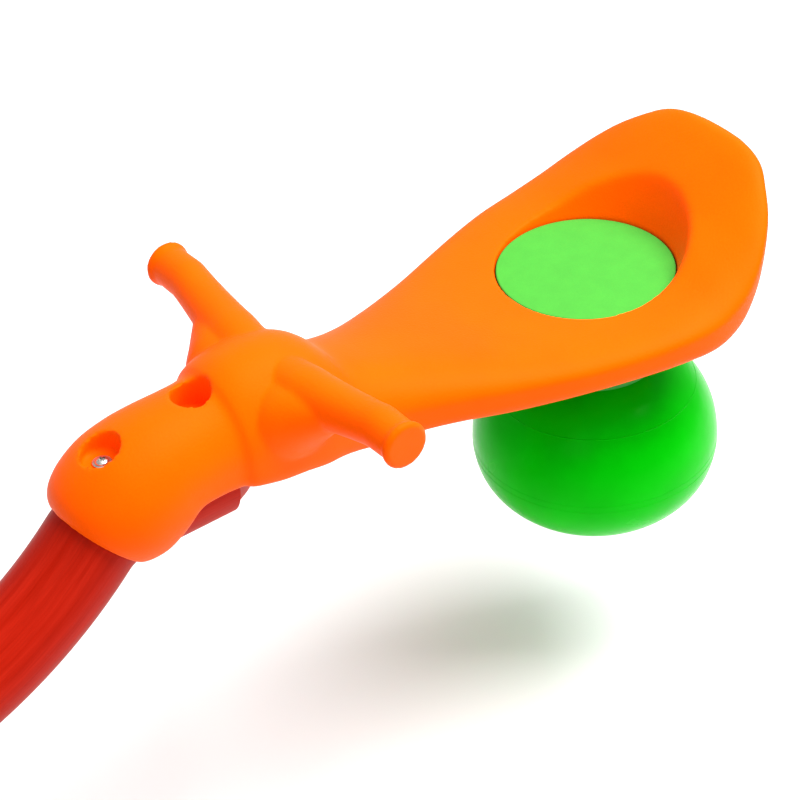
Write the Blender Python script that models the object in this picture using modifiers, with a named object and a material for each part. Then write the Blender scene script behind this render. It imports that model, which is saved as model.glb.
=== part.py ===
"""Playground seesaw: two moulded seats with ball bumpers on a tube that rocks and swivels on a four-leg base.

Metres, +Z up. The origin is on the ground under the pivot, and seat A is at +X.
Each seat end is built about the centre of its pad's top face, with +X pointing away from the pivot.
"""
import math

import bmesh
import bpy
from mathutils import Matrix, Vector

# Overall sizes
SEAT_REACH = 0.850            # pivot to the middle of a seat pad
SEAT_HEIGHT = 0.413           # ground to the top of a seat pad, beam level
BASE_REACH = 0.380            # pivot to the outer end of a leg tube

# Beam tube
TUBE_RADIUS = 0.038
TUBE_WALL = 0.002
MAIN_BEND_RADIUS = 0.349
NECK_BEND_RADIUS = 0.050
BEND_ANGLE = math.radians(44.0)
MOUTH_X = -0.502              # where the tube enters the seat neck
TUBE_END_X = -0.384
NECK_TUBE_Z = -0.0175         # tube centre line inside the neck

# Seat
PAD_RADIUS = 0.0765
PAD_THICKNESS = 0.012
PAN_THICKNESS = 0.008
CREST_RADIUS = 0.090          # top edge of the steep wall behind the pad
CREST_HEIGHT = 0.040
HOLLOW_CORNER = 0.010
PLUG_ROOM = 0.044             # free length under the hump past the tube's end
SCREW_SHELF = 0.010           # thickness left under a screw well
SCREW_WELL_RADIUS = 0.0160
SCREW_WELL_FLOOR = 0.036
FRONT_SCREW_X = -0.479
REAR_SCREW_X = -0.396
SCREW_HEAD_RADIUS = 0.0080
SCREW_HEAD_HEIGHT = 0.0045
SCREW_LENGTH = 0.028
PLUG_REACH = 0.024            # how far the plug stands out of the tube's end
PLUG_DEPTH = 0.020
PLUG_TAPER = 0.72
HANDLE_X = -0.312
HANDLE_Z = 0.062
HANDLE_HALF_SPAN = 0.164
GRIP_RADIUS = 0.0172
ROOT_SWEEP = 0.017            # how far back and down a handle's root sits from its grip
ROOT_SPAN = 0.130             # how far out from the middle the handle is swept
STOP_SWELL = 1.16             # radius of the round stop at a handle's end, in grips

# Ball bumper
BALL_X = 0.008
BALL_RADIUS = 0.109
BALL_CENTRE_Z = -0.177
BALL_LOWER_HEIGHT = 0.082
BALL_UPPER_HEIGHT = 0.098
BALL_FLATTENING = 0.86
BALL_WALL = 0.005
SOCKET_RADIUS = 0.058
STUD_RADIUS = 0.008
STUD_HEAD_RADIUS = 0.016
STUD_HEAD_SINK = 0.0035
STUD_IN_BALL = 0.030
VALVE_RADIUS = 0.0065
VALVE_LENGTH = 0.0128
VALVE_SINK = 0.0012

# Pivot and base
PIVOT_RISE = 0.066            # axle above the tube's centre line
ROCK_LIMIT = math.radians(10.3)
SLEEVE_LENGTH = 0.200
SLEEVE_WALL = 0.006
SLEEVE_BOLT_X = (0.062, 0.086)
SLEEVE_BOLT_SPARE = 0.012      # bolt length beyond the sleeve
NUT_HEIGHT = 0.0065
AXLE_RADIUS = 0.008
BUSH_WALL = 0.003
HUB_LENGTH = 0.084
HUB_WALL = 0.005
WEB_HALF_LENGTH = 0.030
WEB_HALF_WIDTH = 0.007
WEB_OFFSET = 0.024
BUSH_FLANGE = 0.0022
BUSH_DEPTH = 0.028
AXLE_HEAD_RADIUS = 0.0135
AXLE_HEAD_HEIGHT = 0.010
AXLE_NUT_HEIGHT = 0.012
CAP_RADIUS = 0.019
CAP_BORE = 0.0145
CAP_DEPTH = 0.022
CAP_CROWN = 0.0072             # solid depth at the closed end of a cap
STOP_RADIUS = 0.014
STOP_INSET = 0.017             # rubber stop's middle from the end of the yoke plate
EAR_THICKNESS = 0.008
EAR_HALF_WIDTH = 0.034
YOKE_TOP = 0.205              # upper face of the yoke plate
YOKE_PLATE = 0.010
YOKE_HALF_LENGTH = 0.075
SPINDLE_RADIUS = 0.020
WASHER_OVERHANG = 0.008
WASHER_THICKNESS = 0.004
KING_BOLT_RADIUS = 0.006
KING_BOLT_LENGTH = 0.026
KING_HEAD_RADIUS = 0.0105
KING_HEAD_HEIGHT = 0.0075
POST_RADIUS = 0.036
POST_WALL = 0.004
POST_FOOT = 0.045
POST_BUSH_FLANGE = 0.0037
POST_BUSH_DEPTH = 0.026
STUB_LENGTH = 0.055
LEG_RADIUS = 0.019
LEG_WALL = 0.003
STUB_GAP = 0.001               # between a leg tube and the stub that it slides over
LEG_HEIGHT = 0.100
LEG_BEND_RADIUS = 0.110
LEG_DROP_ANGLE = math.radians(38.0)
LEG_BOLT_OUT = 0.030           # from the post's face
LEG_BOLT_LENGTH = 0.016
FOOT_WALL = 0.005
FOOT_LENGTH = 0.060
FOOT_INSET = 0.010
SOLE_HALF_WIDTH = 0.018
BOLT_RADIUS = 0.004
BOLT_HEAD_RADIUS = 0.0072
BOLT_HEAD_HEIGHT = 0.0055

CLEARANCE = 0.0003            # between pieces that touch
RUNNING_GAP = 0.0005          # between a turning piece and its bearing
OVERCUT = 0.002               # how far a cutter runs past the face that it opens
OVERLAP = 0.002               # how far two solids run into each other before they are joined
FLUSH_STEP = 0.00005          # keeps two faces from lying in one plane
FAR = 0.150                   # well past anything nearby
ROUND = 28                    # sides of round pieces, from the widest down to the bolts
FINE = 20
PLAIN = 14
SMALL = 10

# Values that follow from those above
NECK_RISE = NECK_BEND_RADIUS * (1.0 - math.cos(BEND_ANGLE))
MOUTH_Z = NECK_TUBE_Z - NECK_RISE
BEND_START_X = MOUTH_X - MAIN_BEND_RADIUS * math.sin(BEND_ANGLE)
BEAM_Z = MOUTH_Z - MAIN_BEND_RADIUS * (1.0 - math.cos(BEND_ANGLE))
BEAM_HEIGHT = SEAT_HEIGHT + BEAM_Z
PIVOT_HEIGHT = BEAM_HEIGHT + PIVOT_RISE
SLEEVE_RADIUS = TUBE_RADIUS + CLEARANCE + SLEEVE_WALL
EAR_INNER = SLEEVE_RADIUS + RUNNING_GAP * 4.0
EAR_OUTER = EAR_INNER + EAR_THICKNESS
WELL_RADIUS = PAD_RADIUS + CLEARANCE * 2.0
WELL_FLOOR = -PAD_THICKNESS - CLEARANCE
PAN_UNDERSIDE = WELL_FLOOR - PAN_THICKNESS
SOCKET_BORE = STUD_RADIUS + CLEARANCE
BALL_TOP = BALL_CENTRE_Z + BALL_UPPER_HEIGHT
CHANNEL_RADIUS = TUBE_RADIUS + CLEARANCE * 2.0
TUBE_HOLE = BOLT_RADIUS + CLEARANCE
POST_TOP = YOKE_TOP - YOKE_PLATE - POST_BUSH_FLANGE - CLEARANCE - RUNNING_GAP

# Cross-sections of the seat body from its mouth to its back:
# x, height of the widest line, tilt in degrees, half width, crown height, crown sharpness,
# dish depth in the middle (negative where the middle is raised), depth below, underside roundness
BODY_SECTIONS = (
    (-0.493, -0.0240, 44, 0.0430, 0.0420, 2.0, 0.0, 0.0430, 1.0),
    (-0.4895, -0.0205, 44, 0.0475, 0.0470, 2.0, 0.0, 0.0475, 1.0),
    (-0.483, -0.015, 42, 0.0520, 0.0520, 2.0, 0.0, 0.0510, 1.0),
    (-0.473, -0.008, 36, 0.0555, 0.0550, 2.0, 0.0, 0.0520, 1.0),
    (-0.459, 0.001, 28, 0.0560, 0.0550, 2.0, 0.0, 0.0490, 0.9),
    (-0.443, 0.007, 18, 0.0545, 0.0530, 2.0, 0.0, 0.0340, 0.6),
    (-0.427, 0.011, 9, 0.0520, 0.0505, 2.0, 0.0, 0.0230, 0.4),
    (-0.406, 0.012, 3, 0.0505, 0.0500, 2.0, 0.0, 0.0220, 0.35),
    (-0.388, 0.013, 1, 0.0505, 0.0515, 2.0, 0.0, 0.0245, 0.35),
    (-0.377, 0.0135, 0, 0.0540, 0.0580, 2.0, 0.0, 0.0275, 0.35),
    (-0.366, 0.014, 0, 0.0570, 0.0620, 2.0, 0.0, 0.0305, 0.35),
    (-0.350, 0.014, 0, 0.0585, 0.0640, 2.0, 0.0, 0.0340, 0.35),
    (-0.331, 0.013, 0, 0.0595, 0.0645, 2.0, 0.0, 0.0350, 0.35),
    (-0.312, 0.010, 0, 0.0595, 0.0590, 2.0, 0.0, 0.0350, 0.35),
    (-0.293, 0.005, 0, 0.0585, 0.0500, 2.0, 0.0, 0.0320, 0.35),
    (-0.272, 0.000, 0, 0.0585, 0.0410, 2.1, 0.0, 0.0290, 0.35),
    (-0.246, -0.004, 0, 0.0610, 0.0340, 2.3, 0.0, 0.0270, 0.35),
    (-0.218, -0.007, 0, 0.0670, 0.0285, 2.6, 0.0, 0.0250, 0.35),
    (-0.188, -0.009, 0, 0.0760, 0.0240, 3.0, 0.0, 0.0250, 0.35),
    (-0.156, -0.011, 0, 0.0870, 0.0200, 3.6, 0.0, 0.0260, 0.35),
    (-0.122, -0.012, 0, 0.0990, 0.0160, 4.6, 0.0005, 0.0260, 0.35),
    (-0.086, -0.012, 0, 0.1120, 0.0140, 6.0, 0.0010, 0.0250, 0.35),
    (-0.048, -0.011, 0, 0.1240, 0.0130, 8.0, 0.0010, 0.0250, 0.35),
    (-0.010, -0.009, 0, 0.1330, 0.0125, 9.0, -0.0005, 0.0270, 0.35),
    (0.028, -0.006, 0, 0.1385, 0.0125, 9.0, -0.0090, 0.0340, 0.35),
    (0.058, 0.002, 0, 0.1370, 0.0130, 9.0, -0.0155, 0.0460, 0.40),
    (0.082, 0.015, 0, 0.1300, 0.0130, 9.0, -0.0130, 0.0580, 0.5),
    (0.102, 0.030, 0, 0.1165, 0.0130, 8.0, -0.0100, 0.0660, 0.62),
    (0.119, 0.045, 0, 0.0990, 0.0130, 7.0, -0.0060, 0.0650, 0.75),
    (0.133, 0.058, 0, 0.0780, 0.0125, 6.0, -0.0035, 0.0590, 0.88),
    (0.143, 0.066, 0, 0.0570, 0.0120, 5.0, -0.0020, 0.0490, 0.95),
    (0.149, 0.069, 0, 0.0370, 0.0105, 4.0, 0.0, 0.0370, 1.0),
    (0.152, 0.067, 0, 0.0180, 0.0060, 3.0, 0.0, 0.0220, 1.0),
)
# Taper of a handle from the middle of the seat: reach, radius
HANDLE_TAPER = ((0.0, 0.0300), (0.045, 0.0283), (0.060, 0.0255), (0.075, 0.0228), (0.095, 0.0204),
                (0.115, 0.0188), (0.135, 0.0178))
# Flare under a handle's root: reach, x, z, half length, half height
ROOT_FLARE = ((0.0, -0.335, 0.030, 0.0370, 0.0370), (0.040, -0.335, 0.030, 0.0355, 0.0365),
              (0.052, -0.334, 0.031, 0.0340, 0.0350), (0.062, -0.331, 0.038, 0.0285, 0.0300),
              (0.072, -0.327, 0.0445, 0.0235, 0.0250), (0.082, -0.3225, 0.0505, 0.0185, 0.0190),
              (0.088, -0.3205, 0.0525, 0.0120, 0.0120))
CROWN_STEPS = (0.0, 0.3, 0.58, 0.79, 0.92, 0.98, 1.0)
UNDERSIDE_STEPS = (22, 45, 68)

# Underside hollow of the seat: x, half width of the hollow, height of its ceiling
HOLLOW_SECTIONS = (
    (-0.360, 0.044, 0.030),
    (-0.320, 0.050, 0.042),
    (-0.275, 0.049, 0.018),
    (-0.225, 0.056, 0.004),
    (-0.170, 0.072, -0.006),
    (-0.120, 0.090, -0.018),
    (-0.075, 0.106, PAN_UNDERSIDE),
    (-0.010, 0.123, PAN_UNDERSIDE),
    (0.045, 0.126, PAN_UNDERSIDE),
    (0.085, 0.110, -0.012),
    (0.108, 0.086, 0.010),
    (0.124, 0.060, 0.024),
)


def clear_scene():
    for obj in list(bpy.data.objects):
        bpy.data.objects.remove(obj, do_unlink=True)


def make_material(name, color, roughness, metallic=0.0):
    material = bpy.data.materials.new(name)
    material.use_nodes = True
    shader = material.node_tree.nodes["Principled BSDF"]
    shader.inputs["Base Color"].default_value = (*color, 1.0)
    shader.inputs["Roughness"].default_value = roughness
    shader.inputs["Metallic"].default_value = metallic
    material.diffuse_color = (*color, 1.0)
    return material


def new_collection(name):
    collection = bpy.data.collections.new(name)
    bpy.context.scene.collection.children.link(collection)
    return collection


def make_empty(name, location, parent=None, turn=0.0):
    empty = bpy.data.objects.new(name, None)
    PARTS.objects.link(empty)
    empty.parent = parent
    empty.location = location
    empty.rotation_euler.z = turn
    return empty


def mesh_from(bm, name, solid=True):
    """Faces point outwards: a solid's volume says whether they do."""
    bmesh.ops.recalc_face_normals(bm, faces=bm.faces)
    if solid and bm.calc_volume(signed=True) < 0.0:
        bmesh.ops.reverse_faces(bm, faces=bm.faces)
    mesh = bpy.data.meshes.new(name)
    bm.to_mesh(mesh)
    bm.free()
    return mesh


def scratch(mesh, name="cutter"):
    """An object that only takes part in a Boolean or a modifier."""
    obj = bpy.data.objects.new(name, mesh)
    CUTTERS.objects.link(obj)
    obj.hide_render = True
    obj.display_type = "WIRE"
    return obj


def evaluated_mesh(obj):
    """The object's mesh with its modifiers in it and its own place taken into the vertices."""
    bpy.context.view_layer.update()
    depsgraph = bpy.context.evaluated_depsgraph_get()
    mesh = bpy.data.meshes.new_from_object(obj.evaluated_get(depsgraph))
    mesh.transform(obj.matrix_world)
    bpy.data.objects.remove(obj, do_unlink=True)
    return mesh


def combine(mesh, others, operation):
    """Cut the others out of the mesh, or join them to it."""
    for other in others:
        target = scratch(mesh, "target")
        tool = scratch(other)
        modifier = target.modifiers.new(operation.lower(), "BOOLEAN")
        modifier.operation = operation
        modifier.object = tool
        mesh = evaluated_mesh(target)
        bpy.data.objects.remove(tool, do_unlink=True)
    return mesh


def cut(mesh, *cutters):
    return combine(mesh, cutters, "DIFFERENCE")


def join(mesh, *others):
    return combine(mesh, others, "UNION")


def cylinder(radius, start, end, segments=FINE, end_radius=None):
    """A closed cylinder or cone between two points."""
    start = Vector(start)
    span = Vector(end) - start
    bm = bmesh.new()
    bmesh.ops.create_cone(
        bm, cap_ends=True, segments=segments, radius1=radius,
        radius2=radius if end_radius is None else end_radius, depth=span.length)
    turn = span.to_track_quat("Z", "Y").to_matrix().to_4x4()
    bm.transform(Matrix.Translation(start + span / 2.0) @ turn)
    return mesh_from(bm, "cylinder")


def box(low, high):
    low = Vector(low)
    high = Vector(high)
    bm = bmesh.new()
    bmesh.ops.create_cube(bm, size=1.0)
    bm.transform(Matrix.Translation((low + high) / 2.0) @ Matrix.Diagonal((*(high - low), 1.0)))
    return mesh_from(bm, "box")


def turned(profile, segments=FINE, closed=False):
    """Spin a profile of (radius, height) points, given down the outer side, about Z."""
    mesh = bpy.data.meshes.new("profile")
    count = len(profile)
    edges = [(i, i + 1) for i in range(count - 1)]
    if closed:
        edges.append((count - 1, 0))
    mesh.from_pydata([(radius, 0.0, height) for radius, height in profile], edges, [])
    obj = scratch(mesh, "turned")
    screw = obj.modifiers.new("screw", "SCREW")
    screw.steps = segments
    screw.render_steps = segments
    screw.use_merge_vertices = True
    screw.merge_threshold = 0.0001
    bm = bmesh.new()
    bm.from_mesh(evaluated_mesh(obj))
    bmesh.ops.remove_doubles(bm, verts=bm.verts, dist=0.00001)
    return mesh_from(bm, "turned")


def swept(points, radius, sides, wall=None):
    """A round bar along the points, or a tube with open ends when a wall is given."""
    curve = bpy.data.curves.new("route", "CURVE")
    curve.dimensions = "3D"
    curve.bevel_depth = radius
    curve.bevel_resolution = sides // 2 - 2
    curve.use_fill_caps = wall is None
    spline = curve.splines.new("POLY")
    spline.points.add(len(points) - 1)
    for point, place in zip(spline.points, points):
        point.co = (*place, 1.0)
    obj = bpy.data.objects.new("route", curve)
    CUTTERS.objects.link(obj)
    bm = bmesh.new()
    bm.from_mesh(evaluated_mesh(obj))
    bmesh.ops.remove_doubles(bm, verts=bm.verts, dist=0.00001)
    mesh = mesh_from(bm, "swept", solid=wall is None)
    if wall is None:
        return mesh
    shell = scratch(mesh, "shell")
    solidify = shell.modifiers.new("wall", "SOLIDIFY")
    solidify.thickness = wall
    solidify.offset = -1.0
    solidify.use_even_offset = True
    return evaluated_mesh(shell)


def loft(rings):
    """A closed body through rings that each have the same number of points."""
    bm = bmesh.new()
    loops = [[bm.verts.new(point) for point in ring] for ring in rings]
    for near, far in zip(loops, loops[1:]):
        for i in range(len(near)):
            j = (i + 1) % len(near)
            bm.faces.new((near[i], near[j], far[j], far[i]))
    bm.faces.new(loops[0])
    bm.faces.new(loops[-1])
    return mesh_from(bm, "loft")


def finish(name, mesh, material, parent, location=(0.0, 0.0, 0.0), turn=0.0):
    """Put a mesh into the scene as one named piece, shaded smooth up to its sharp edges."""
    mesh.shade_smooth()
    mesh.set_sharp_from_angle(angle=math.radians(35.0))
    if not mesh.materials:
        mesh.materials.append(material)
    mesh.materials[0] = material
    while len(mesh.materials) > 1:
        mesh.materials.pop()
    obj = bpy.data.objects.new(name, mesh)
    PARTS.objects.link(obj)
    obj.parent = parent
    obj.location = location
    obj.rotation_euler.z = turn
    return obj


def hex_bolt(radius, length, head_radius, head_height):
    """Shank down from the origin, head above it."""
    head = cylinder(head_radius, (0, 0, 0), (0, 0, head_height), 6)
    shank = cylinder(radius, (0, 0, head_height / 2.0), (0, 0, -length), SMALL)
    return join(head, shank)


def hex_nut(bore, across, height):
    return cut(cylinder(across, (0, 0, 0), (0, 0, height), 6),
               cylinder(bore, (0, 0, -OVERCUT), (0, 0, height + OVERCUT), SMALL))


def tube_route(first_x):
    """Centre line of one beam half, from inside the sleeve up the bends to its end in the neck."""
    points = [Vector((first_x, 0.0, BEAM_Z)), Vector((BEND_START_X, 0.0, BEAM_Z))]
    main_steps = 7
    for i in range(1, main_steps + 1):
        angle = BEND_ANGLE * i / main_steps
        points.append(Vector((BEND_START_X + MAIN_BEND_RADIUS * math.sin(angle), 0.0,
                              BEAM_Z + MAIN_BEND_RADIUS * (1.0 - math.cos(angle)))))
    neck_steps = 3
    neck_x = MOUTH_X + NECK_BEND_RADIUS * math.sin(BEND_ANGLE)
    for i in range(1, neck_steps + 1):
        angle = BEND_ANGLE * (1.0 - i / neck_steps)
        points.append(Vector((neck_x - NECK_BEND_RADIUS * math.sin(angle), 0.0,
                              NECK_TUBE_Z - NECK_BEND_RADIUS * (1.0 - math.cos(angle)))))
    points.append(Vector((TUBE_END_X, 0.0, NECK_TUBE_Z)))
    return points


def body_ring(section):
    """One cross-section of the seat body as a ring of points."""
    x, z, tilt, half_width, crown, sharpness, dish, below, roundness = section
    lean = math.radians(tilt)
    up = Vector((-math.sin(lean), 0.0, math.cos(lean)))
    middle = Vector((x, 0.0, z))

    def top_point(share, side):
        rise = crown * math.sqrt(max(0.0, 1.0 - share ** sharpness)) - dish * (1.0 - share ** 2)
        return middle + Vector((0.0, side * half_width * share, 0.0)) + up * rise

    def low_point(angle, side):
        y = half_width * math.cos(angle) ** roundness
        return middle + Vector((0.0, side * y, 0.0)) - up * below * math.sin(angle) ** roundness

    ring = [top_point(share, -1.0) for share in reversed(CROWN_STEPS)]
    ring += [top_point(share, 1.0) for share in CROWN_STEPS[1:]]
    ring += [low_point(math.radians(step), 1.0) for step in UNDERSIDE_STEPS]
    ring.append(middle - up * below)
    ring += [low_point(math.radians(step), -1.0) for step in reversed(UNDERSIDE_STEPS)]
    return ring


def round_bar(side, stations):
    """A closed bar out to one side through ellipses: reach, x, z, half length and half height."""
    rings = []
    for out, x, z, half_length, half_height in stations:
        rings.append([Vector((x + half_length * math.cos(angle), side * out,
                              z + half_height * math.sin(angle)))
                      for angle in (2.0 * math.pi * i / PLAIN for i in range(PLAIN))])
    return loft(rings)


def handle_mesh(side):
    """One handle: a taper that grows out of the hump, the grip, and the round stop at its end."""
    stop = GRIP_RADIUS * STOP_SWELL
    tip = HANDLE_HALF_SPAN
    stations = []
    for out, radius in (*HANDLE_TAPER, (tip - 0.0055, GRIP_RADIUS), (tip - 0.0045, stop),
                        (tip - 0.0010, stop), (tip, stop - 0.0015)):
        sweep = ROOT_SWEEP * max(0.0, 1.0 - out / ROOT_SPAN)
        stations.append((out, HANDLE_X - sweep, HANDLE_Z - sweep, radius, radius))
    return round_bar(side, stations)


def hollow_mesh():
    rings = []
    for x, half_width, ceiling in HOLLOW_SECTIONS:
        inner = half_width - HOLLOW_CORNER
        shoulder = ceiling - HOLLOW_CORNER
        rings.append([Vector((x, y, z)) for y, z in (
            (-half_width, -FAR), (half_width, -FAR), (half_width, shoulder),
            (inner, ceiling), (-inner, ceiling), (-half_width, shoulder))])
    return loft(rings)


def pad_well_mesh():
    """The pad's round recess, and above it the wall that leans back from the pad to its crest."""
    lean = (CREST_RADIUS - WELL_RADIUS) / CREST_HEIGHT
    return turned([(0.0, FAR), (WELL_RADIUS + lean * FAR, FAR), (WELL_RADIUS, 0.0),
                   (WELL_RADIUS, WELL_FLOOR), (0.0, WELL_FLOOR)], ROUND)


def seat_shell_mesh():
    body = loft([body_ring(section) for section in BODY_SECTIONS])
    for side in (-1.0, 1.0):
        body = join(body, round_bar(side, ROOT_FLARE), handle_mesh(side))
    route = tube_route(BEND_START_X)
    end = route[-1]
    route[-1] = end + Vector((PLUG_DEPTH, 0.0, 0.0))
    channel = swept(route, CHANNEL_RADIUS, FINE)
    slot_start = MOUTH_X + NECK_BEND_RADIUS * math.sin(BEND_ANGLE) + PLUG_DEPTH
    slot = box((slot_start, -CHANNEL_RADIUS, -FAR),
               (end.x + PLUG_DEPTH + FLUSH_STEP, CHANNEL_RADIUS, NECK_TUBE_Z))
    plug_room = box((end.x, -CHANNEL_RADIUS, -FAR),
                    (end.x + PLUG_ROOM, CHANNEL_RADIUS, SCREW_WELL_FLOOR - SCREW_SHELF))
    stud_hole = cylinder(SOCKET_BORE, (BALL_X, 0, PAN_UNDERSIDE - OVERLAP), (BALL_X, 0, 0), PLAIN)
    stud_pocket = cylinder(STUD_HEAD_RADIUS + CLEARANCE, (BALL_X, 0, 0),
                           (BALL_X, 0, WELL_FLOOR - STUD_HEAD_SINK - CLEARANCE * 2.0), FINE)
    body = cut(body, hollow_mesh(), channel, slot, plug_room, pad_well_mesh(), stud_hole, stud_pocket)
    for x in (FRONT_SCREW_X, REAR_SCREW_X):
        body = cut(body,
                   cylinder(SCREW_WELL_RADIUS, (x, 0, SCREW_WELL_FLOOR), (x, 0, FAR), FINE),
                   cylinder(TUBE_HOLE, (x, 0, NECK_TUBE_Z), (x, 0, SCREW_WELL_FLOOR + OVERLAP), SMALL))
    return body


def beam_tube_mesh():
    route = tube_route(-SEAT_REACH + CLEARANCE * 2.0)
    tube = swept(route, TUBE_RADIUS, FINE, TUBE_WALL)
    holes = [cylinder(TUBE_HOLE, (x, 0, NECK_TUBE_Z + TUBE_RADIUS / 2), (x, 0, SCREW_WELL_FLOOR), SMALL)
             for x in (FRONT_SCREW_X, REAR_SCREW_X)]
    holes += [cylinder(TUBE_HOLE, (x - SEAT_REACH, -FAR, BEAM_Z), (x - SEAT_REACH, FAR, BEAM_Z), SMALL)
              for x in SLEEVE_BOLT_X]
    return cut(tube, *holes)


def ball_outline(share):
    """Side of the ball from its mouth under the seat down to its valve, scaled about its centre."""
    steps = 9
    first = math.asin(SOCKET_BORE / BALL_RADIUS)
    last = math.pi - math.asin(VALVE_RADIUS / BALL_RADIUS)
    outline = []
    for i in range(steps + 1):
        angle = first + (last - first) * i / steps
        if angle < math.pi / 2.0:
            rise = BALL_UPPER_HEIGHT * math.cos(angle)
        else:
            rise = -BALL_LOWER_HEIGHT * abs(math.cos(angle)) ** BALL_FLATTENING
        outline.append((BALL_RADIUS * math.sin(angle) * share, BALL_CENTRE_Z + rise * share))
    return outline


def ball_mesh():
    """A thin-walled ball, open where the stud and the valve go in."""
    outer = ball_outline(1.0)
    inner = ball_outline(1.0 - BALL_WALL / BALL_RADIUS)
    inner[0] = (SOCKET_BORE, inner[0][1])
    inner[-1] = (VALVE_RADIUS, inner[-1][1])
    return turned(outer + inner[::-1], FINE + 4, closed=True)


def socket_mesh():
    """Moulded cup between the seat pan and the ball, bored for the stud."""
    top = PAN_UNDERSIDE - CLEARANCE
    lip = BALL_CENTRE_Z + BALL_UPPER_HEIGHT * math.sqrt(1.0 - (SOCKET_RADIUS / BALL_RADIUS) ** 2)
    cup = cylinder(SOCKET_RADIUS, (0, 0, top), (0, 0, lip))
    outline = ball_outline(1.0 + CLEARANCE * 2.0 / BALL_RADIUS)
    upper = [point for point in outline if point[1] > BALL_CENTRE_Z]
    profile = [(0.0, upper[0][1]), *upper, (0.0, upper[-1][1])]
    return cut(cup, turned(profile, FINE + 4), cylinder(SOCKET_BORE, (0, 0, -FAR), (0, 0, 0), PLAIN))


def stud_mesh():
    """Wide flat head in the pan, shank down through the cup into the ball."""
    head_top = WELL_FLOOR - CLEARANCE
    head = cylinder(STUD_HEAD_RADIUS, (0, 0, head_top), (0, 0, head_top - STUD_HEAD_SINK))
    shank = cylinder(STUD_RADIUS, (0, 0, head_top - STUD_HEAD_SINK / 2.0),
                     (0, 0, BALL_TOP - STUD_IN_BALL), PLAIN)
    return join(head, shank)


def valve_mesh():
    lowest = BALL_CENTRE_Z - BALL_LOWER_HEIGHT + VALVE_SINK
    return cylinder(VALVE_RADIUS - CLEARANCE, (0, 0, lowest + VALVE_LENGTH), (0, 0, lowest), PLAIN)


def neck_screw_mesh():
    """Pan-head screw with a cross recess in its head."""
    brow = SCREW_HEAD_RADIUS * 0.56
    edge = SCREW_HEAD_HEIGHT * 0.27
    head = turned([(0.0, SCREW_HEAD_HEIGHT), (brow, SCREW_HEAD_HEIGHT * 0.89),
                   (SCREW_HEAD_RADIUS, edge), (SCREW_HEAD_RADIUS, 0.0), (0.0, 0.0)], PLAIN)
    arm = SCREW_HEAD_RADIUS * 0.45
    half = arm * 0.22
    floor = SCREW_HEAD_HEIGHT * 0.40
    head = cut(head, box((-arm, -half, floor), (arm, half, SCREW_HEAD_HEIGHT * 2.0)),
               box((-half, -arm, floor), (half, arm, SCREW_HEAD_HEIGHT * 2.0)))
    return join(head, cylinder(BOLT_RADIUS, (0, 0, SCREW_HEAD_HEIGHT * 0.18), (0, 0, -SCREW_LENGTH), SMALL))


def build_end(label, parent, turn):
    """One end of the seesaw in its own frame, whose origin is the middle of the pad's top face."""
    offset = SEAT_REACH if turn == 0.0 else -SEAT_REACH
    end = make_empty(f"end_{label}", (offset, 0.0, SEAT_HEIGHT - PIVOT_HEIGHT), parent, turn)
    finish(f"seat_shell_{label}", END_MESHES["shell"], ORANGE, end)
    finish(f"seat_pad_{label}", END_MESHES["pad"], PAD_GREEN, end)
    finish(f"beam_tube_{label}", END_MESHES["tube"], RED, end)
    finish(f"tube_plug_{label}", END_MESHES["plug"], RED_PLASTIC, end)
    finish(f"ball_{label}", END_MESHES["ball"], BALL_GREEN, end, (BALL_X, 0, 0))
    finish(f"ball_socket_{label}", END_MESHES["socket"], SOCKET_GREEN, end, (BALL_X, 0, 0))
    finish(f"ball_stud_{label}", END_MESHES["stud"], STEEL, end, (BALL_X, 0, 0))
    finish(f"ball_valve_{label}", END_MESHES["valve"], VALVE_WHITE, end, (BALL_X, 0, 0))
    for place, x in (("front", FRONT_SCREW_X), ("rear", REAR_SCREW_X)):
        finish(f"neck_screw_{place}_{label}", END_MESHES["screw"], STEEL, end,
               (x, 0, SCREW_WELL_FLOOR + CLEARANCE))


def make_end_meshes():
    pad = cylinder(PAD_RADIUS, (0, 0, -PAD_THICKNESS), (0, 0, 0), ROUND)
    plug_outer = TUBE_RADIUS - TUBE_WALL - CLEARANCE * 3.0
    middle = Vector((TUBE_END_X, 0.0, NECK_TUBE_Z))
    along = Vector((1.0, 0.0, 0.0))
    plug = join(cylinder(plug_outer, middle - along * PLUG_DEPTH, middle + along * OVERLAP * 2.0),
                cylinder(plug_outer, middle + along * OVERLAP, middle + along * PLUG_REACH,
                         FINE, plug_outer * PLUG_TAPER))
    plug = cut(plug, cylinder(BOLT_RADIUS + CLEARANCE * 4.0, (REAR_SCREW_X, 0, NECK_TUBE_Z),
                              (REAR_SCREW_X, 0, FAR), SMALL))
    return {"shell": seat_shell_mesh(), "pad": pad, "tube": beam_tube_mesh(), "plug": plug,
            "ball": ball_mesh(), "socket": socket_mesh(), "stud": stud_mesh(),
            "valve": valve_mesh(), "screw": neck_screw_mesh()}


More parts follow.
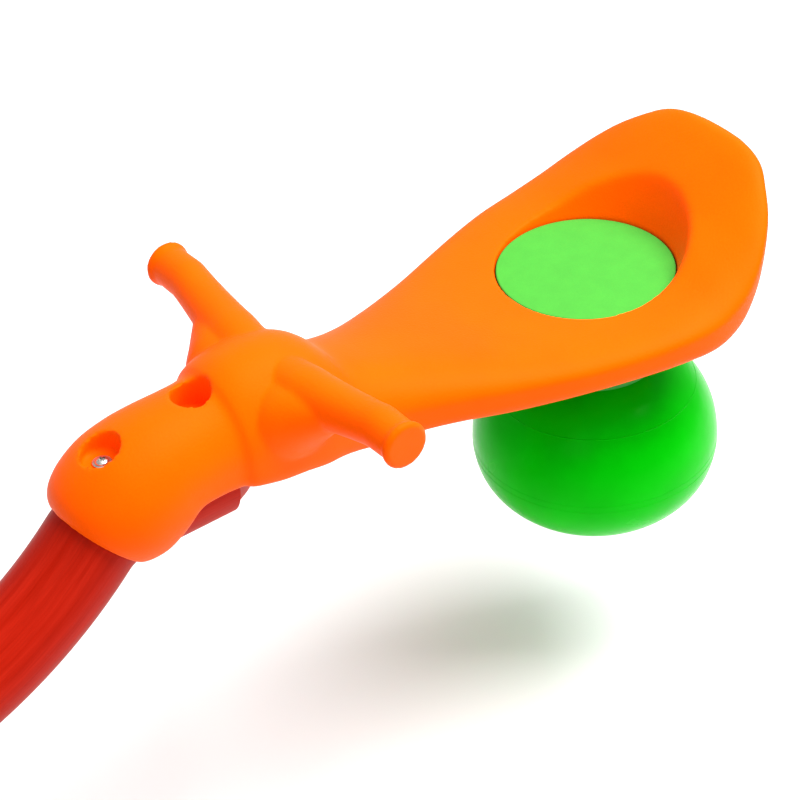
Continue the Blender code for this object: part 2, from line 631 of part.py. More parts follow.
def build_rocker(parent):
    """The centre sleeve with its axle hub, its bolts and its bushes. Heights are from the axle."""
    beam = -PIVOT_RISE
    bush_bore = AXLE_RADIUS + RUNNING_GAP
    bush_outer = bush_bore + BUSH_WALL
    hub_bore = bush_outer + CLEARANCE
    hub_radius = hub_bore + HUB_WALL
    half = SLEEVE_LENGTH / 2.0
    sleeve = cylinder(SLEEVE_RADIUS, (-half, 0, beam), (half, 0, beam), ROUND)
    hub = cylinder(hub_radius, (0, -HUB_LENGTH / 2, 0), (0, HUB_LENGTH / 2, 0))
    webs = [box((-WEB_HALF_LENGTH, middle - WEB_HALF_WIDTH, beam + TUBE_RADIUS * 0.8),
                (WEB_HALF_LENGTH, middle + WEB_HALF_WIDTH, 0.0)) for middle in (-WEB_OFFSET, WEB_OFFSET)]
    bracket = join(sleeve, *webs, hub)
    bolt_x = [side * x for side in (-1.0, 1.0) for x in SLEEVE_BOLT_X]
    past = half + OVERCUT
    bracket = cut(bracket, cylinder(TUBE_RADIUS + CLEARANCE, (-past, 0, beam), (past, 0, beam), ROUND),
                  cylinder(hub_bore, (0, -HUB_LENGTH, 0), (0, HUB_LENGTH, 0)),
                  *[cylinder(TUBE_HOLE, (x, -FAR, beam), (x, FAR, beam), SMALL) for x in bolt_x])
    finish("centre_bracket", bracket, RED, parent)
    seat = SLEEVE_RADIUS + CLEARANCE
    bolt = hex_bolt(BOLT_RADIUS, 2.0 * SLEEVE_RADIUS + SLEEVE_BOLT_SPARE, BOLT_HEAD_RADIUS, BOLT_HEAD_HEIGHT)
    bolt.transform(Matrix.Rotation(math.pi / 2, 4, "X"))
    nut = hex_nut(BOLT_RADIUS + CLEARANCE, BOLT_HEAD_RADIUS, NUT_HEIGHT)
    nut.transform(Matrix.Rotation(-math.pi / 2, 4, "X"))
    for number, x in enumerate(bolt_x, 1):
        finish(f"sleeve_bolt_{number}", bolt, STEEL, parent, (x, -seat, beam))
        finish(f"sleeve_nut_{number}", nut, STEEL, parent, (x, seat, beam))
    for number, side in enumerate((-1.0, 1.0), 1):
        face = side * (HUB_LENGTH / 2 + CLEARANCE)
        rim = face + side * BUSH_FLANGE
        bush = join(cylinder(hub_radius, (0, face, 0), (0, rim, 0)),
                    cylinder(bush_outer, (0, face - side * BUSH_DEPTH, 0), (0, (face + rim) / 2.0, 0)))
        bush = cut(bush, cylinder(bush_bore, (0, 0, 0), (0, face * 2.0, 0)))
        finish(f"axle_bush_{number}", bush, NYLON, parent)


def build_swivel(parent):
    """The yoke that turns on the post, with its axle, bolts and stops. Heights are from its plate."""
    plate = box((-YOKE_HALF_LENGTH, -EAR_OUTER, -YOKE_PLATE), (YOKE_HALF_LENGTH, EAR_OUTER, 0.0))
    axle_z = PIVOT_HEIGHT - YOKE_TOP
    solids = []
    for side in (-1.0, 1.0):
        low = min(side * EAR_INNER, side * EAR_OUTER)
        high = max(side * EAR_INNER, side * EAR_OUTER)
        solids.append(box((-EAR_HALF_WIDTH, low, -YOKE_PLATE / 2), (EAR_HALF_WIDTH, high, axle_z)))
        solids.append(cylinder(EAR_HALF_WIDTH - FLUSH_STEP, (0, low + FLUSH_STEP, axle_z),
                               (0, high - FLUSH_STEP, axle_z)))
    spindle_end = POST_FOOT - POST_BUSH_FLANGE - CLEARANCE - YOKE_TOP - OVERLAP
    solids.append(cylinder(SPINDLE_RADIUS, (0, 0, -YOKE_PLATE / 2), (0, 0, spindle_end)))
    yoke = join(plate, *solids)
    yoke = cut(yoke, cylinder(AXLE_RADIUS + CLEARANCE, (0, -FAR, axle_z), (0, FAR, axle_z)),
               cylinder(KING_BOLT_RADIUS + CLEARANCE, (0, 0, spindle_end - OVERCUT),
                        (0, 0, spindle_end + KING_BOLT_LENGTH), PLAIN))
    finish("swivel_yoke", yoke, RED, parent)

    washer_top = spindle_end - CLEARANCE
    washer_foot = washer_top - WASHER_THICKNESS
    washer = cut(cylinder(SPINDLE_RADIUS + WASHER_OVERHANG, (0, 0, washer_top), (0, 0, washer_foot)),
                 cylinder(KING_BOLT_RADIUS + CLEARANCE, (0, 0, washer_top + OVERCUT),
                          (0, 0, washer_foot - OVERCUT), PLAIN))
    finish("retaining_washer", washer, STEEL, parent)
    king = hex_bolt(KING_BOLT_RADIUS, KING_BOLT_LENGTH, KING_HEAD_RADIUS, KING_HEAD_HEIGHT)
    king.transform(Matrix.Rotation(math.pi, 4, "X"))
    finish("retaining_bolt", king, STEEL, parent, (0, 0, washer_foot - CLEARANCE))

    stop_x = YOKE_HALF_LENGTH - STOP_INSET
    under = PIVOT_RISE + SLEEVE_RADIUS
    touch = (under + (stop_x + STOP_RADIUS) * math.sin(ROCK_LIMIT)) / math.cos(ROCK_LIMIT)
    stop_height = axle_z - touch - RUNNING_GAP - CLEARANCE
    for number, side in enumerate((-1.0, 1.0), 1):
        stop = cylinder(STOP_RADIUS, (0, 0, 0), (0, 0, stop_height), PLAIN)
        finish(f"rubber_stop_{number}", stop, RUBBER, parent, (side * stop_x, 0, CLEARANCE))

    shank_end = EAR_OUTER + CLEARANCE
    axle_length = 2.0 * shank_end + AXLE_NUT_HEIGHT + CLEARANCE * 5.0
    axle = hex_bolt(AXLE_RADIUS, axle_length, AXLE_HEAD_RADIUS, AXLE_HEAD_HEIGHT)
    axle.transform(Matrix.Rotation(math.pi / 2, 4, "X"))
    finish("axle", axle, STEEL, parent, (0, -shank_end, axle_z))
    nut = hex_nut(AXLE_RADIUS + CLEARANCE, AXLE_HEAD_RADIUS, AXLE_NUT_HEIGHT)
    nut.transform(Matrix.Rotation(-math.pi / 2, 4, "X"))
    finish("axle_nut", nut, STEEL, parent, (0, shank_end, axle_z))
    cap = turned([(0.0, CAP_DEPTH), (CAP_RADIUS * 0.42, CAP_DEPTH * 0.97),
                  (CAP_RADIUS * 0.74, CAP_DEPTH * 0.82), (CAP_RADIUS, CAP_DEPTH * 0.27),
                  (CAP_RADIUS, 0.0), (0.0, 0.0)], FINE)
    cap = cut(cap, cylinder(CAP_BORE, (0, 0, -OVERCUT), (0, 0, CAP_DEPTH - CAP_CROWN), FINE))
    for number, side in enumerate((-1.0, 1.0), 1):
        turned_cap = cap.copy()
        turned_cap.transform(Matrix.Rotation(-side * math.pi / 2, 4, "X"))
        finish(f"axle_cap_{number}", turned_cap, BLACK, parent, (0, side * shank_end, axle_z))


def leg_route():
    """Centre line of a leg in its own radial plane: out of the stub, down, and level again at the foot."""
    foot_z = LEG_RADIUS + FOOT_WALL + CLEARANCE
    drop = LEG_HEIGHT - foot_z
    bend_out = LEG_BEND_RADIUS * math.sin(LEG_DROP_ANGLE)
    bend_down = LEG_BEND_RADIUS * (1.0 - math.cos(LEG_DROP_ANGLE))
    angle = LEG_DROP_ANGLE
    if 2.0 * bend_down > drop:
        angle = math.acos(1.0 - drop / (2.0 * LEG_BEND_RADIUS))
        bend_out = LEG_BEND_RADIUS * math.sin(angle)
        bend_down = drop / 2.0
    slope_out = (drop - 2.0 * bend_down) / math.tan(angle)
    flat_start = BASE_REACH - FOOT_LENGTH
    bend_start = flat_start - 2.0 * bend_out - slope_out
    points = [(POST_RADIUS + OVERLAP, LEG_HEIGHT), (bend_start, LEG_HEIGHT)]
    steps = 3
    for i in range(1, steps + 1):
        turn = angle * i / steps
        points.append((bend_start + LEG_BEND_RADIUS * math.sin(turn),
                       LEG_HEIGHT - LEG_BEND_RADIUS * (1.0 - math.cos(turn))))
    for i in range(steps, -1, -1):
        turn = angle * i / steps
        points.append((flat_start - LEG_BEND_RADIUS * math.sin(turn),
                       foot_z + LEG_BEND_RADIUS * (1.0 - math.cos(turn))))
    points.append((BASE_REACH, foot_z))
    return [Vector((reach, 0.0, height)) for reach, height in points]


def build_base(parent):
    stub_end = POST_RADIUS + STUB_LENGTH
    stub_radius = LEG_RADIUS - LEG_WALL - STUB_GAP
    bolt_out = POST_RADIUS + LEG_BOLT_OUT
    up = Vector((0.0, 0.0, LEG_HEIGHT))
    above = Vector((0.0, 0.0, LEG_RADIUS * 2.0))
    post = cylinder(POST_RADIUS, (0, 0, POST_FOOT), (0, 0, POST_TOP), ROUND)
    headings = [math.radians(45.0 + 90.0 * i) for i in range(4)]
    holes = []
    for heading in headings:
        out = Vector((math.cos(heading), math.sin(heading), 0.0))
        stub_start = out * (POST_RADIUS - POST_WALL / 2)
        post = join(post, cylinder(stub_radius, stub_start + up, out * stub_end + up, FINE))
        holes.append(cylinder(TUBE_HOLE, out * bolt_out + up, out * bolt_out + up + above, SMALL))
    bore = cylinder(POST_RADIUS - POST_WALL, (0, 0, POST_FOOT - OVERCUT), (0, 0, POST_TOP + OVERCUT), ROUND)
    finish("base_post", cut(post, bore, *holes), RED, parent)

    leg = swept(leg_route(), LEG_RADIUS, SMALL + 2, LEG_WALL)
    hole_start = Vector((bolt_out, 0.0, LEG_HEIGHT))
    leg = cut(leg, cylinder(TUBE_HOLE, hole_start, hole_start + above, SMALL))
    foot_z = LEG_RADIUS + FOOT_WALL + CLEARANCE
    foot_start = BASE_REACH - FOOT_LENGTH + FOOT_INSET
    foot_end = BASE_REACH + FOOT_WALL
    boot = cylinder(LEG_RADIUS + FOOT_WALL, (foot_start, 0, foot_z), (foot_end, 0, foot_z), FINE)
    sole = box((foot_start + FLUSH_STEP, -SOLE_HALF_WIDTH, 0.0),
               (foot_end - FLUSH_STEP, SOLE_HALF_WIDTH, foot_z))
    foot = cut(join(boot, sole), cylinder(LEG_RADIUS + CLEARANCE, (foot_start - OVERCUT, 0, foot_z),
                                          (BASE_REACH + CLEARANCE, 0, foot_z), FINE))
    bolt = hex_bolt(BOLT_RADIUS, LEG_BOLT_LENGTH, BOLT_HEAD_RADIUS, BOLT_HEAD_HEIGHT)
    bolt_z = LEG_HEIGHT + LEG_RADIUS + CLEARANCE
    for number, heading in enumerate(headings, 1):
        finish(f"leg_{number}", leg, RED, parent, turn=heading)
        finish(f"foot_{number}", foot, RUBBER, parent, turn=heading)
        finish(f"leg_bolt_{number}", bolt, STEEL, parent,
               (bolt_out * math.cos(heading), bolt_out * math.sin(heading), bolt_z))

    sleeve_outer = POST_RADIUS - POST_WALL - CLEARANCE * 2.0
    bush_bore = SPINDLE_RADIUS + RUNNING_GAP
    for place, face, side in (("upper", POST_TOP + CLEARANCE, 1.0), ("lower", POST_FOOT - CLEARANCE, -1.0)):
        rim = face + side * POST_BUSH_FLANGE
        inner_end = face - side * POST_BUSH_DEPTH
        bush = join(cylinder(POST_RADIUS, (0, 0, face), (0, 0, rim), ROUND),
                    cylinder(sleeve_outer, (0, 0, (face + rim) / 2.0), (0, 0, inner_end), ROUND))
        past = side * OVERCUT
        bush = cut(bush, cylinder(bush_bore, (0, 0, rim + past), (0, 0, inner_end - past), ROUND))
        finish(f"post_bush_{place}", bush, NYLON, parent)


clear_scene()
PARTS = new_collection("seesaw")
CUTTERS = new_collection("cutters")
ORANGE = make_material("seat_orange", (0.93, 0.18, 0.0), 0.42)
PAD_GREEN = make_material("pad_green", (0.16, 0.80, 0.10), 0.75)
BALL_GREEN = make_material("ball_green", (0.0, 0.42, 0.01), 0.25)
SOCKET_GREEN = make_material("socket_green", (0.0, 0.30, 0.01), 0.45)
RED = make_material("tube_red", (0.55, 0.03, 0.01), 0.40)
RED_PLASTIC = make_material("plug_red", (0.50, 0.03, 0.02), 0.50)
STEEL = make_material("zinc_steel", (0.60, 0.60, 0.58), 0.30, 1.0)
NYLON = make_material("nylon_white", (0.75, 0.74, 0.70), 0.50)
RUBBER = make_material("rubber_black", (0.02, 0.02, 0.02), 0.80)
BLACK = make_material("cap_black", (0.02, 0.02, 0.02), 0.45)
VALVE_WHITE = make_material("valve_white", (0.80, 0.80, 0.78), 0.40)

base_root = make_empty("base_root", (0.0, 0.0, 0.0))
swivel_axis = make_empty("swivel_axis", (0.0, 0.0, YOKE_TOP))
rock_axis = make_empty("rock_axis", (0.0, 0.0, PIVOT_HEIGHT - YOKE_TOP), swivel_axis)
build_base(base_root)
build_swivel(swivel_axis)
build_rocker(rock_axis)
END_MESHES = make_end_meshes()
build_end("a", rock_axis, 0.0)
build_end("b", rock_axis, math.pi)
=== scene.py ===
import math

import bmesh
import bpy
from mathutils import Matrix, Vector


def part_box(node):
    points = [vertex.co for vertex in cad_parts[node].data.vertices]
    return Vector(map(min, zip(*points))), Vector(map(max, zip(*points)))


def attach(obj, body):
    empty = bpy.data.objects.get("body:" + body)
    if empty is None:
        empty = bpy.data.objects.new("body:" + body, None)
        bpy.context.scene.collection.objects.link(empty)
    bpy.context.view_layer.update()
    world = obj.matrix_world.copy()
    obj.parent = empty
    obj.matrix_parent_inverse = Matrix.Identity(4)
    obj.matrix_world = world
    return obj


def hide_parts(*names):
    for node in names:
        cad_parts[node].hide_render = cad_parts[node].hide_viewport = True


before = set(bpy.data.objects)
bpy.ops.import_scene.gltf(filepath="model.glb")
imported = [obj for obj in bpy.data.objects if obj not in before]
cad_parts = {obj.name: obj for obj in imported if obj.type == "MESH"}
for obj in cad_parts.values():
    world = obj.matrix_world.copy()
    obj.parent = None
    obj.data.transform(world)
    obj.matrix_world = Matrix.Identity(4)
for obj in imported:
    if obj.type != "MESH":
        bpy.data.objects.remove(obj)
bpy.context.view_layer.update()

turnEnd = Matrix.Rotation(math.pi, 4, "Z")


# ---- small helpers for meshes
def linear(hexColour):
    # sRGB hex to the linear colour that a shader takes
    parts = [int(hexColour[i:i + 2], 16) / 255.0 for i in (0, 2, 4)]
    return tuple(c / 12.92 if c <= 0.04045 else ((c + 0.055) / 1.055) ** 2.4 for c in parts) + (1.0,)


def meshFrom(bm, name, closed=True):
    # merged, then turned outwards: a closed body's signed volume says which way that is
    bmesh.ops.remove_doubles(bm, verts=bm.verts, dist=0.000005)
    bmesh.ops.recalc_face_normals(bm, faces=bm.faces)
    if closed and bm.calc_volume(signed=True) < 0.0:
        bmesh.ops.reverse_faces(bm, faces=bm.faces)
    mesh = bpy.data.meshes.new(name)
    bm.to_mesh(mesh)
    bm.free()
    return mesh


def scratchObject(mesh, name="scratch"):
    obj = bpy.data.objects.new(name, mesh)
    bpy.context.scene.collection.objects.link(obj)
    return obj


def bakeObject(obj):
    # the modifiers' result as a plain mesh, with the working object gone
    bpy.context.view_layer.update()
    mesh = bpy.data.meshes.new_from_object(obj.evaluated_get(bpy.context.evaluated_depsgraph_get()))
    bpy.data.objects.remove(obj, do_unlink=True)
    return mesh


def withBoolean(mesh, tool, operation):
    target, other = scratchObject(mesh), scratchObject(tool)
    modifier = target.modifiers.new("boolean", "BOOLEAN")
    modifier.operation = operation
    modifier.object = other
    modifier.solver = "EXACT"
    result = bakeObject(target)
    bpy.data.objects.remove(other, do_unlink=True)
    return result


def carve(mesh, *tools):
    for tool in tools:
        mesh = withBoolean(mesh, tool, "DIFFERENCE")
    return mesh


def fuse(mesh, *tools):
    for tool in tools:
        mesh = withBoolean(mesh, tool, "UNION")
    return mesh


def together(*meshes):
    # several meshes in one, left as separate shells
    bm = bmesh.new()
    for mesh in meshes:
        bm.from_mesh(mesh)
    joined = bpy.data.meshes.new("together")
    bm.to_mesh(joined)
    bm.free()
    return joined


def moved(mesh, *places):
    # copies of a mesh at each place, as one mesh
    copies = []
    for place in places:
        twin = mesh.copy()
        twin.transform(place)
        copies.append(twin)
    return together(*copies) if len(copies) > 1 else copies[0]


def bevelled(mesh, width, segments=3, angle=35.0):
    obj = scratchObject(mesh)
    modifier = obj.modifiers.new("edges", "BEVEL")
    modifier.width = width
    modifier.segments = segments
    modifier.limit_method = "ANGLE"
    modifier.angle_limit = math.radians(angle)
    modifier.use_clamp_overlap = True
    return bakeObject(obj)


def melted(mesh, voxel, rounds):
    # one moulded skin over overlapping bodies, with its corners rounded
    obj = scratchObject(mesh)
    remesh = obj.modifiers.new("skin", "REMESH")
    remesh.mode = "VOXEL"
    remesh.voxel_size = voxel
    smooth = obj.modifiers.new("round", "SMOOTH")
    smooth.factor = 0.5
    smooth.iterations = rounds
    return bakeObject(obj)


def boxMesh(low, high):
    bm = bmesh.new()
    bmesh.ops.create_cube(bm, size=1.0)
    low, high = Vector(low), Vector(high)
    bm.transform(Matrix.Translation((low + high) / 2.0) @ Matrix.Diagonal((*(high - low), 1.0)))
    return meshFrom(bm, "box")


def softened(points, radius, closed=False, steps=4):
    # a profile with each corner turned into a small curve
    made = []
    count = len(points)
    for i, point in enumerate(points):
        here = Vector(point)
        if not closed and i in (0, count - 1):
            made.append(tuple(here))
            continue
        before = Vector(points[i - 1]) - here
        after = Vector(points[(i + 1) % count]) - here
        reach = min(radius, before.length * 0.49, after.length * 0.49)
        start, end = here + before.normalized() * reach, here + after.normalized() * reach
        for k in range(steps + 1):
            t = k / steps
            made.append(tuple(start * (1 - t) ** 2 + here * 2 * t * (1 - t) + end * t ** 2))
    return made


def lathe(profile, sides=96, closed=False):
    # spin (radius, height) points about Z
    bm = bmesh.new()
    rings = []
    for radius, height in profile:
        if radius < 0.00001:
            rings.append([bm.verts.new((0.0, 0.0, height))])
        else:
            rings.append([bm.verts.new((radius * math.cos(a), radius * math.sin(a), height))
                          for a in (2.0 * math.pi * i / sides for i in range(sides))])
    pairs = list(zip(rings, rings[1:]))
    if closed:
        pairs.append((rings[-1], rings[0]))
    for near, far in pairs:
        for i in range(sides):
            j = (i + 1) % sides
            corners = [near[i % len(near)], near[j % len(near)], far[j % len(far)], far[i % len(far)]]
            unique = list(dict.fromkeys(corners))
            if len(unique) > 2:
                bm.faces.new(unique)
    return meshFrom(bm, "lathe")


def rod(radius, start, end, sides=48, farRadius=None):
    start, end = Vector(start), Vector(end)
    span = end - start
    mesh = lathe([(0.0, 0.0), (radius, 0.0), (radius if farRadius is None else farRadius, span.length),
                  (0.0, span.length)], sides)
    mesh.transform(Matrix.Translation(start) @ span.to_track_quat("Z", "Y").to_matrix().to_4x4())
    return mesh


def lofted(rings):
    bm = bmesh.new()
    loops = [[bm.verts.new(point) for point in ring] for ring in rings]
    for near, far in zip(loops, loops[1:]):
        for i in range(len(near)):
            j = (i + 1) % len(near)
            bm.faces.new((near[i], near[j], far[j], far[i]))
    bm.faces.new(loops[0])
    bm.faces.new(loops[-1])
    return meshFrom(bm, "loft")


def lineMesh(routes, closed=False):
    # edges along each route, for the trees that follow a path
    points, edges = [], []
    for route in routes:
        first = len(points)
        points += [tuple(point) for point in route]
        edges += [(first + i, first + i + 1) for i in range(len(route) - 1)]
        if closed:
            edges.append((first + len(route) - 1, first))
    mesh = bpy.data.meshes.new("line")
    mesh.from_pydata(points, edges, [])
    return mesh


def ringPoints(radius, height, count=48):
    return [Vector((radius * math.cos(a), radius * math.sin(a), height))
            for a in (2.0 * math.pi * i / count for i in range(count))]


def addPiece(name, mesh, material, body, nodes=(), crease=38.0):
    mesh.materials.clear()
    mesh.materials.append(material)
    mesh.shade_smooth()
    mesh.set_sharp_from_angle(angle=math.radians(crease))
    obj = bpy.data.objects.new(name, mesh)
    bpy.context.scene.collection.objects.link(obj)
    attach(obj, body)
    if nodes:
        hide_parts(*nodes)
    return obj


# ---- materials
def addNode(tree, kind, settings=None, links=None):
    node = tree.nodes.new(kind)
    for key, value in (settings or {}).items():
        if isinstance(key, str) and hasattr(node, key):
            setattr(node, key, value)
        else:
            node.inputs[key].default_value = value
    for key, source in (links or {}).items():
        tree.links.new(source, node.inputs[key])
    return node


def makeFinish(name, look):
    # two close tones in soft clouds, a fine surface grain in the bump, and a roughness that wanders a little
    material = bpy.data.materials.new(name)
    material.use_nodes = True
    tree = material.node_tree
    shader = tree.nodes["Principled BSDF"]
    for key, value in look.get("shader", {}).items():
        shader.inputs[key].default_value = value
    where = addNode(tree, "ShaderNodeTexCoord")
    place = where.outputs["Object"]
    if "along" in look:   # a drawn or brushed surface is stretched along its own length
        where = addNode(tree, "ShaderNodeAttribute", {"attribute_name": "tubeRun"})
        place = addNode(tree, "ShaderNodeMapping", {"Scale": look["along"]},
                        {0: where.outputs["Vector"]}).outputs[0]
    clouds = addNode(tree, "ShaderNodeTexNoise", {"Scale": 1000.0 / look["cloudMm"], "Detail": 3.0,
                                                  "Roughness": 0.55}, {"Vector": place})
    grain = addNode(tree, "ShaderNodeTexNoise", {"Scale": 1000.0 / look["grainMm"], "Detail": 2.5,
                                                 "Roughness": 0.6}, {"Vector": place})
    tone = addNode(tree, "ShaderNodeMapRange", {"From Min": 0.32, "From Max": 0.68},
                   {"Value": clouds.outputs["Fac"]})
    tint = addNode(tree, "ShaderNodeMix",
                   {"data_type": "RGBA", 6: linear(look["dark"]), 7: linear(look["light"])},
                   {0: tone.outputs[0]})
    speck = addNode(tree, "ShaderNodeMapRange", {"From Min": 0.3, "From Max": 0.7,
                                                 "To Min": look.get("speckLow", 0.97), "To Max": 1.0},
                    {"Value": grain.outputs["Fac"]})
    shade = addNode(tree, "ShaderNodeMix", {"data_type": "RGBA", "blend_type": "MULTIPLY", 0: 1.0},
                    {6: tint.outputs[2], 7: speck.outputs[0]})
    tree.links.new(shade.outputs[2], shader.inputs["Base Color"])
    sheen = addNode(tree, "ShaderNodeMapRange", {"From Min": 0.3, "From Max": 0.7, "To Min": look["rough"][0],
                                                 "To Max": look["rough"][1]},
                    {"Value": clouds.outputs["Fac"]})
    tree.links.new(sheen.outputs[0], shader.inputs["Roughness"])
    bump = addNode(tree, "ShaderNodeBump",
                   {"Strength": look.get("bump", 0.6), "Distance": look["grainDepthMm"] / 1000.0},
                   {"Height": grain.outputs["Fac"]})
    tree.links.new(bump.outputs[0], shader.inputs["Normal"])
    return material


# Rotationally moulded polyethylene: even, saturated, satin, with a very fine texture from the mould
seatPlastic = makeFinish("moulded_polyethylene_orange", {
    "dark": "FF5800", "light": "FF5D00", "cloudMm": 90.0, "grainMm": 1.9, "grainDepthMm": 0.36,
    "rough": (0.44, 0.50),
    "speckLow": 0.95, "shader": {"IOR": 1.51, "Specular IOR Level": 0.10, "Specular Tint": linear("FF9A4A")}})
# Moulded EVA foam: matt, lighter, softly mottled
padFoam = makeFinish("moulded_eva_foam_green", {
    "dark": "46A036", "light": "49A538", "cloudMm": 14.0, "grainMm": 1.3, "grainDepthMm": 0.10,
    "rough": (0.72, 0.85),
    "speckLow": 0.94, "shader": {"IOR": 1.45, "Specular IOR Level": 0.15}})
# Blown soft vinyl: thin and glossy, with slow ripples in its reflections
ballVinyl = makeFinish("blown_vinyl_green", {
    "dark": "00B402", "light": "00BE03", "cloudMm": 45.0, "grainMm": 26.0, "grainDepthMm": 0.7,
    "rough": (0.22, 0.28),
    "speckLow": 0.98, "shader": {"IOR": 1.42, "Specular IOR Level": 0.12, "Specular Tint": linear("8CE88C")}})
# Moulded polypropylene cup: a deeper, satin green
cupPlastic = makeFinish("moulded_polypropylene_green", {
    "dark": "028A0A", "light": "05A010", "cloudMm": 30.0, "grainMm": 1.8, "grainDepthMm": 0.10,
    "rough": (0.42, 0.52),
    "shader": {"IOR": 1.49}})
# Powder coat over drawn steel tube: satin, with faint lengthwise draw marks under the paint
tubePaint = makeFinish("powder_coated_steel_red", {
    "dark": "A61605", "light": "B8200F", "cloudMm": 7.0, "grainMm": 1.4, "grainDepthMm": 0.16,
    "rough": (0.36, 0.50),
    "along": (0.05, 1.0, 1.0), "speckLow": 0.86,
    "shader": {"IOR": 1.50, "Specular IOR Level": 0.10, "Specular Tint": linear("FF9A88")}})
# The same coat on plate and cast shapes: fine orange peel instead of draw marks
platePaint = makeFinish("powder_coated_plate_red", {
    "dark": "B31C0A", "light": "BC220E", "cloudMm": 35.0, "grainMm": 2.4, "grainDepthMm": 0.12,
    "rough": (0.36, 0.48),
    "shader": {"IOR": 1.50, "Specular IOR Level": 0.12, "Specular Tint": linear("FF9A88")}})
# Moulded polyethylene plug: dull beside the paint
plugPlastic = makeFinish("moulded_polyethylene_red", {
    "dark": "A81E12", "light": "B82818", "cloudMm": 20.0, "grainMm": 1.5, "grainDepthMm": 0.12,
    "rough": (0.50, 0.62),
    "shader": {"IOR": 1.51}})
# Bright zinc plate: pale metal with a soft broken reflection
zincPlate = makeFinish("zinc_plated_steel", {
    "dark": "B4B3AE", "light": "D2D1CC", "cloudMm": 5.0, "grainMm": 0.8, "grainDepthMm": 0.02,
    "rough": (0.24, 0.38),
    "shader": {"Metallic": 1.0}})
# Natural nylon: waxy off-white
nylonWhite = makeFinish("turned_nylon_white", {
    "dark": "DEDACE", "light": "ECE9E0", "cloudMm": 12.0, "grainMm": 0.9, "grainDepthMm": 0.04,
    "rough": (0.42, 0.54),
    "shader": {"IOR": 1.53}})
# Moulded rubber: near-black, dusty where it scuffs
rubberBlack = makeFinish("moulded_rubber_black", {
    "dark": "19191A", "light": "2A2A2B", "cloudMm": 14.0, "grainMm": 1.2, "grainDepthMm": 0.14,
    "rough": (0.68, 0.86),
    "shader": {"IOR": 1.52}})
# Moulded nylon caps: black with a satin shine
capBlack = makeFinish("moulded_nylon_black", {
    "dark": "151516", "light": "1E1E20", "cloudMm": 20.0, "grainMm": 1.4, "grainDepthMm": 0.08,
    "rough": (0.36, 0.46),
    "shader": {"IOR": 1.53}})
valveWhite = makeFinish("moulded_vinyl_white", {
    "dark": "E4E3DD", "light": "F0EFEA", "cloudMm": 8.0, "grainMm": 0.8, "grainDepthMm": 0.03,
    "rough": (0.38, 0.48),
    "shader": {"IOR": 1.53}})
print("materials made")


# ---- geometry node trees
def newTree(name, sizes):
    tree = bpy.data.node_groups.new(name, "GeometryNodeTree")
    tree.interface.new_socket("Geometry", in_out="INPUT", socket_type="NodeSocketGeometry")
    for label, kind, value in sizes:
        tree.interface.new_socket(label, in_out="INPUT", socket_type=kind).default_value = value
    tree.interface.new_socket("Surface", in_out="INPUT", socket_type="NodeSocketMaterial")
    tree.interface.new_socket("Geometry", in_out="OUTPUT", socket_type="NodeSocketGeometry")
    start = addNode(tree, "NodeGroupInput")
    return tree, start


def closeTree(tree, start, geometry):
    real = addNode(tree, "GeometryNodeRealizeInstances", links={0: geometry})
    smooth = addNode(tree, "GeometryNodeSetShadeSmooth", links={0: real.outputs[0]})
    surface = addNode(tree, "GeometryNodeSetMaterial",
                      links={0: smooth.outputs[0], "Material": start.outputs["Surface"]})
    addNode(tree, "NodeGroupOutput", links={0: surface.outputs[0]})
    return tree


def grow(tree, mesh, material, sizes):
    # run a tree on a mesh and keep the plain result
    obj = scratchObject(mesh, "seed")
    modifier = obj.modifiers.new("grow", "NODES")
    modifier.node_group = tree
    keys = {item.name: item.identifier for item in tree.interface.items_tree
            if item.item_type == "SOCKET" and item.in_out == "INPUT"}
    modifier[keys["Surface"]] = material
    for label, value in sizes.items():
        modifier[keys[label]] = value
    return bakeObject(obj)


def makeTubeTree():
    # a round bar along a path, which also stores how far along and round it each point is
    tree, start = newTree("tubeAlongPath",
                          [("Radius", "NodeSocketFloat", 0.02), ("Sides", "NodeSocketInt", 64)])
    curve = addNode(tree, "GeometryNodeMeshToCurve", links={0: start.outputs["Geometry"]})
    run = addNode(tree, "GeometryNodeSplineParameter")
    keepRun = addNode(tree, "GeometryNodeCaptureAttribute")
    keepRun.capture_items.new("FLOAT", "run")
    tree.links.new(curve.outputs[0], keepRun.inputs["Geometry"])
    tree.links.new(run.outputs["Length"], keepRun.inputs[1])
    circle = addNode(tree, "GeometryNodeCurvePrimitiveCircle", links={
        "Resolution": start.outputs["Sides"], "Radius": start.outputs["Radius"]})
    around = addNode(tree, "GeometryNodeSplineParameter")
    keepAround = addNode(tree, "GeometryNodeCaptureAttribute")
    keepAround.capture_items.new("FLOAT", "around")
    tree.links.new(circle.outputs[0], keepAround.inputs["Geometry"])
    tree.links.new(around.outputs["Length"], keepAround.inputs[1])
    swept = addNode(tree, "GeometryNodeCurveToMesh", links={
        "Curve": keepRun.outputs["Geometry"], "Profile Curve": keepAround.outputs["Geometry"]})
    both = addNode(tree, "ShaderNodeCombineXYZ", links={"X": keepRun.outputs[1], "Y": keepAround.outputs[1]})
    stored = addNode(tree, "GeometryNodeStoreNamedAttribute", {"data_type": "FLOAT_VECTOR", "domain": "POINT",
                                                               "Name": "tubeRun"},
                     {"Geometry": swept.outputs[0], "Value": both.outputs[0]})
    return closeTree(tree, start, stored.outputs[0])


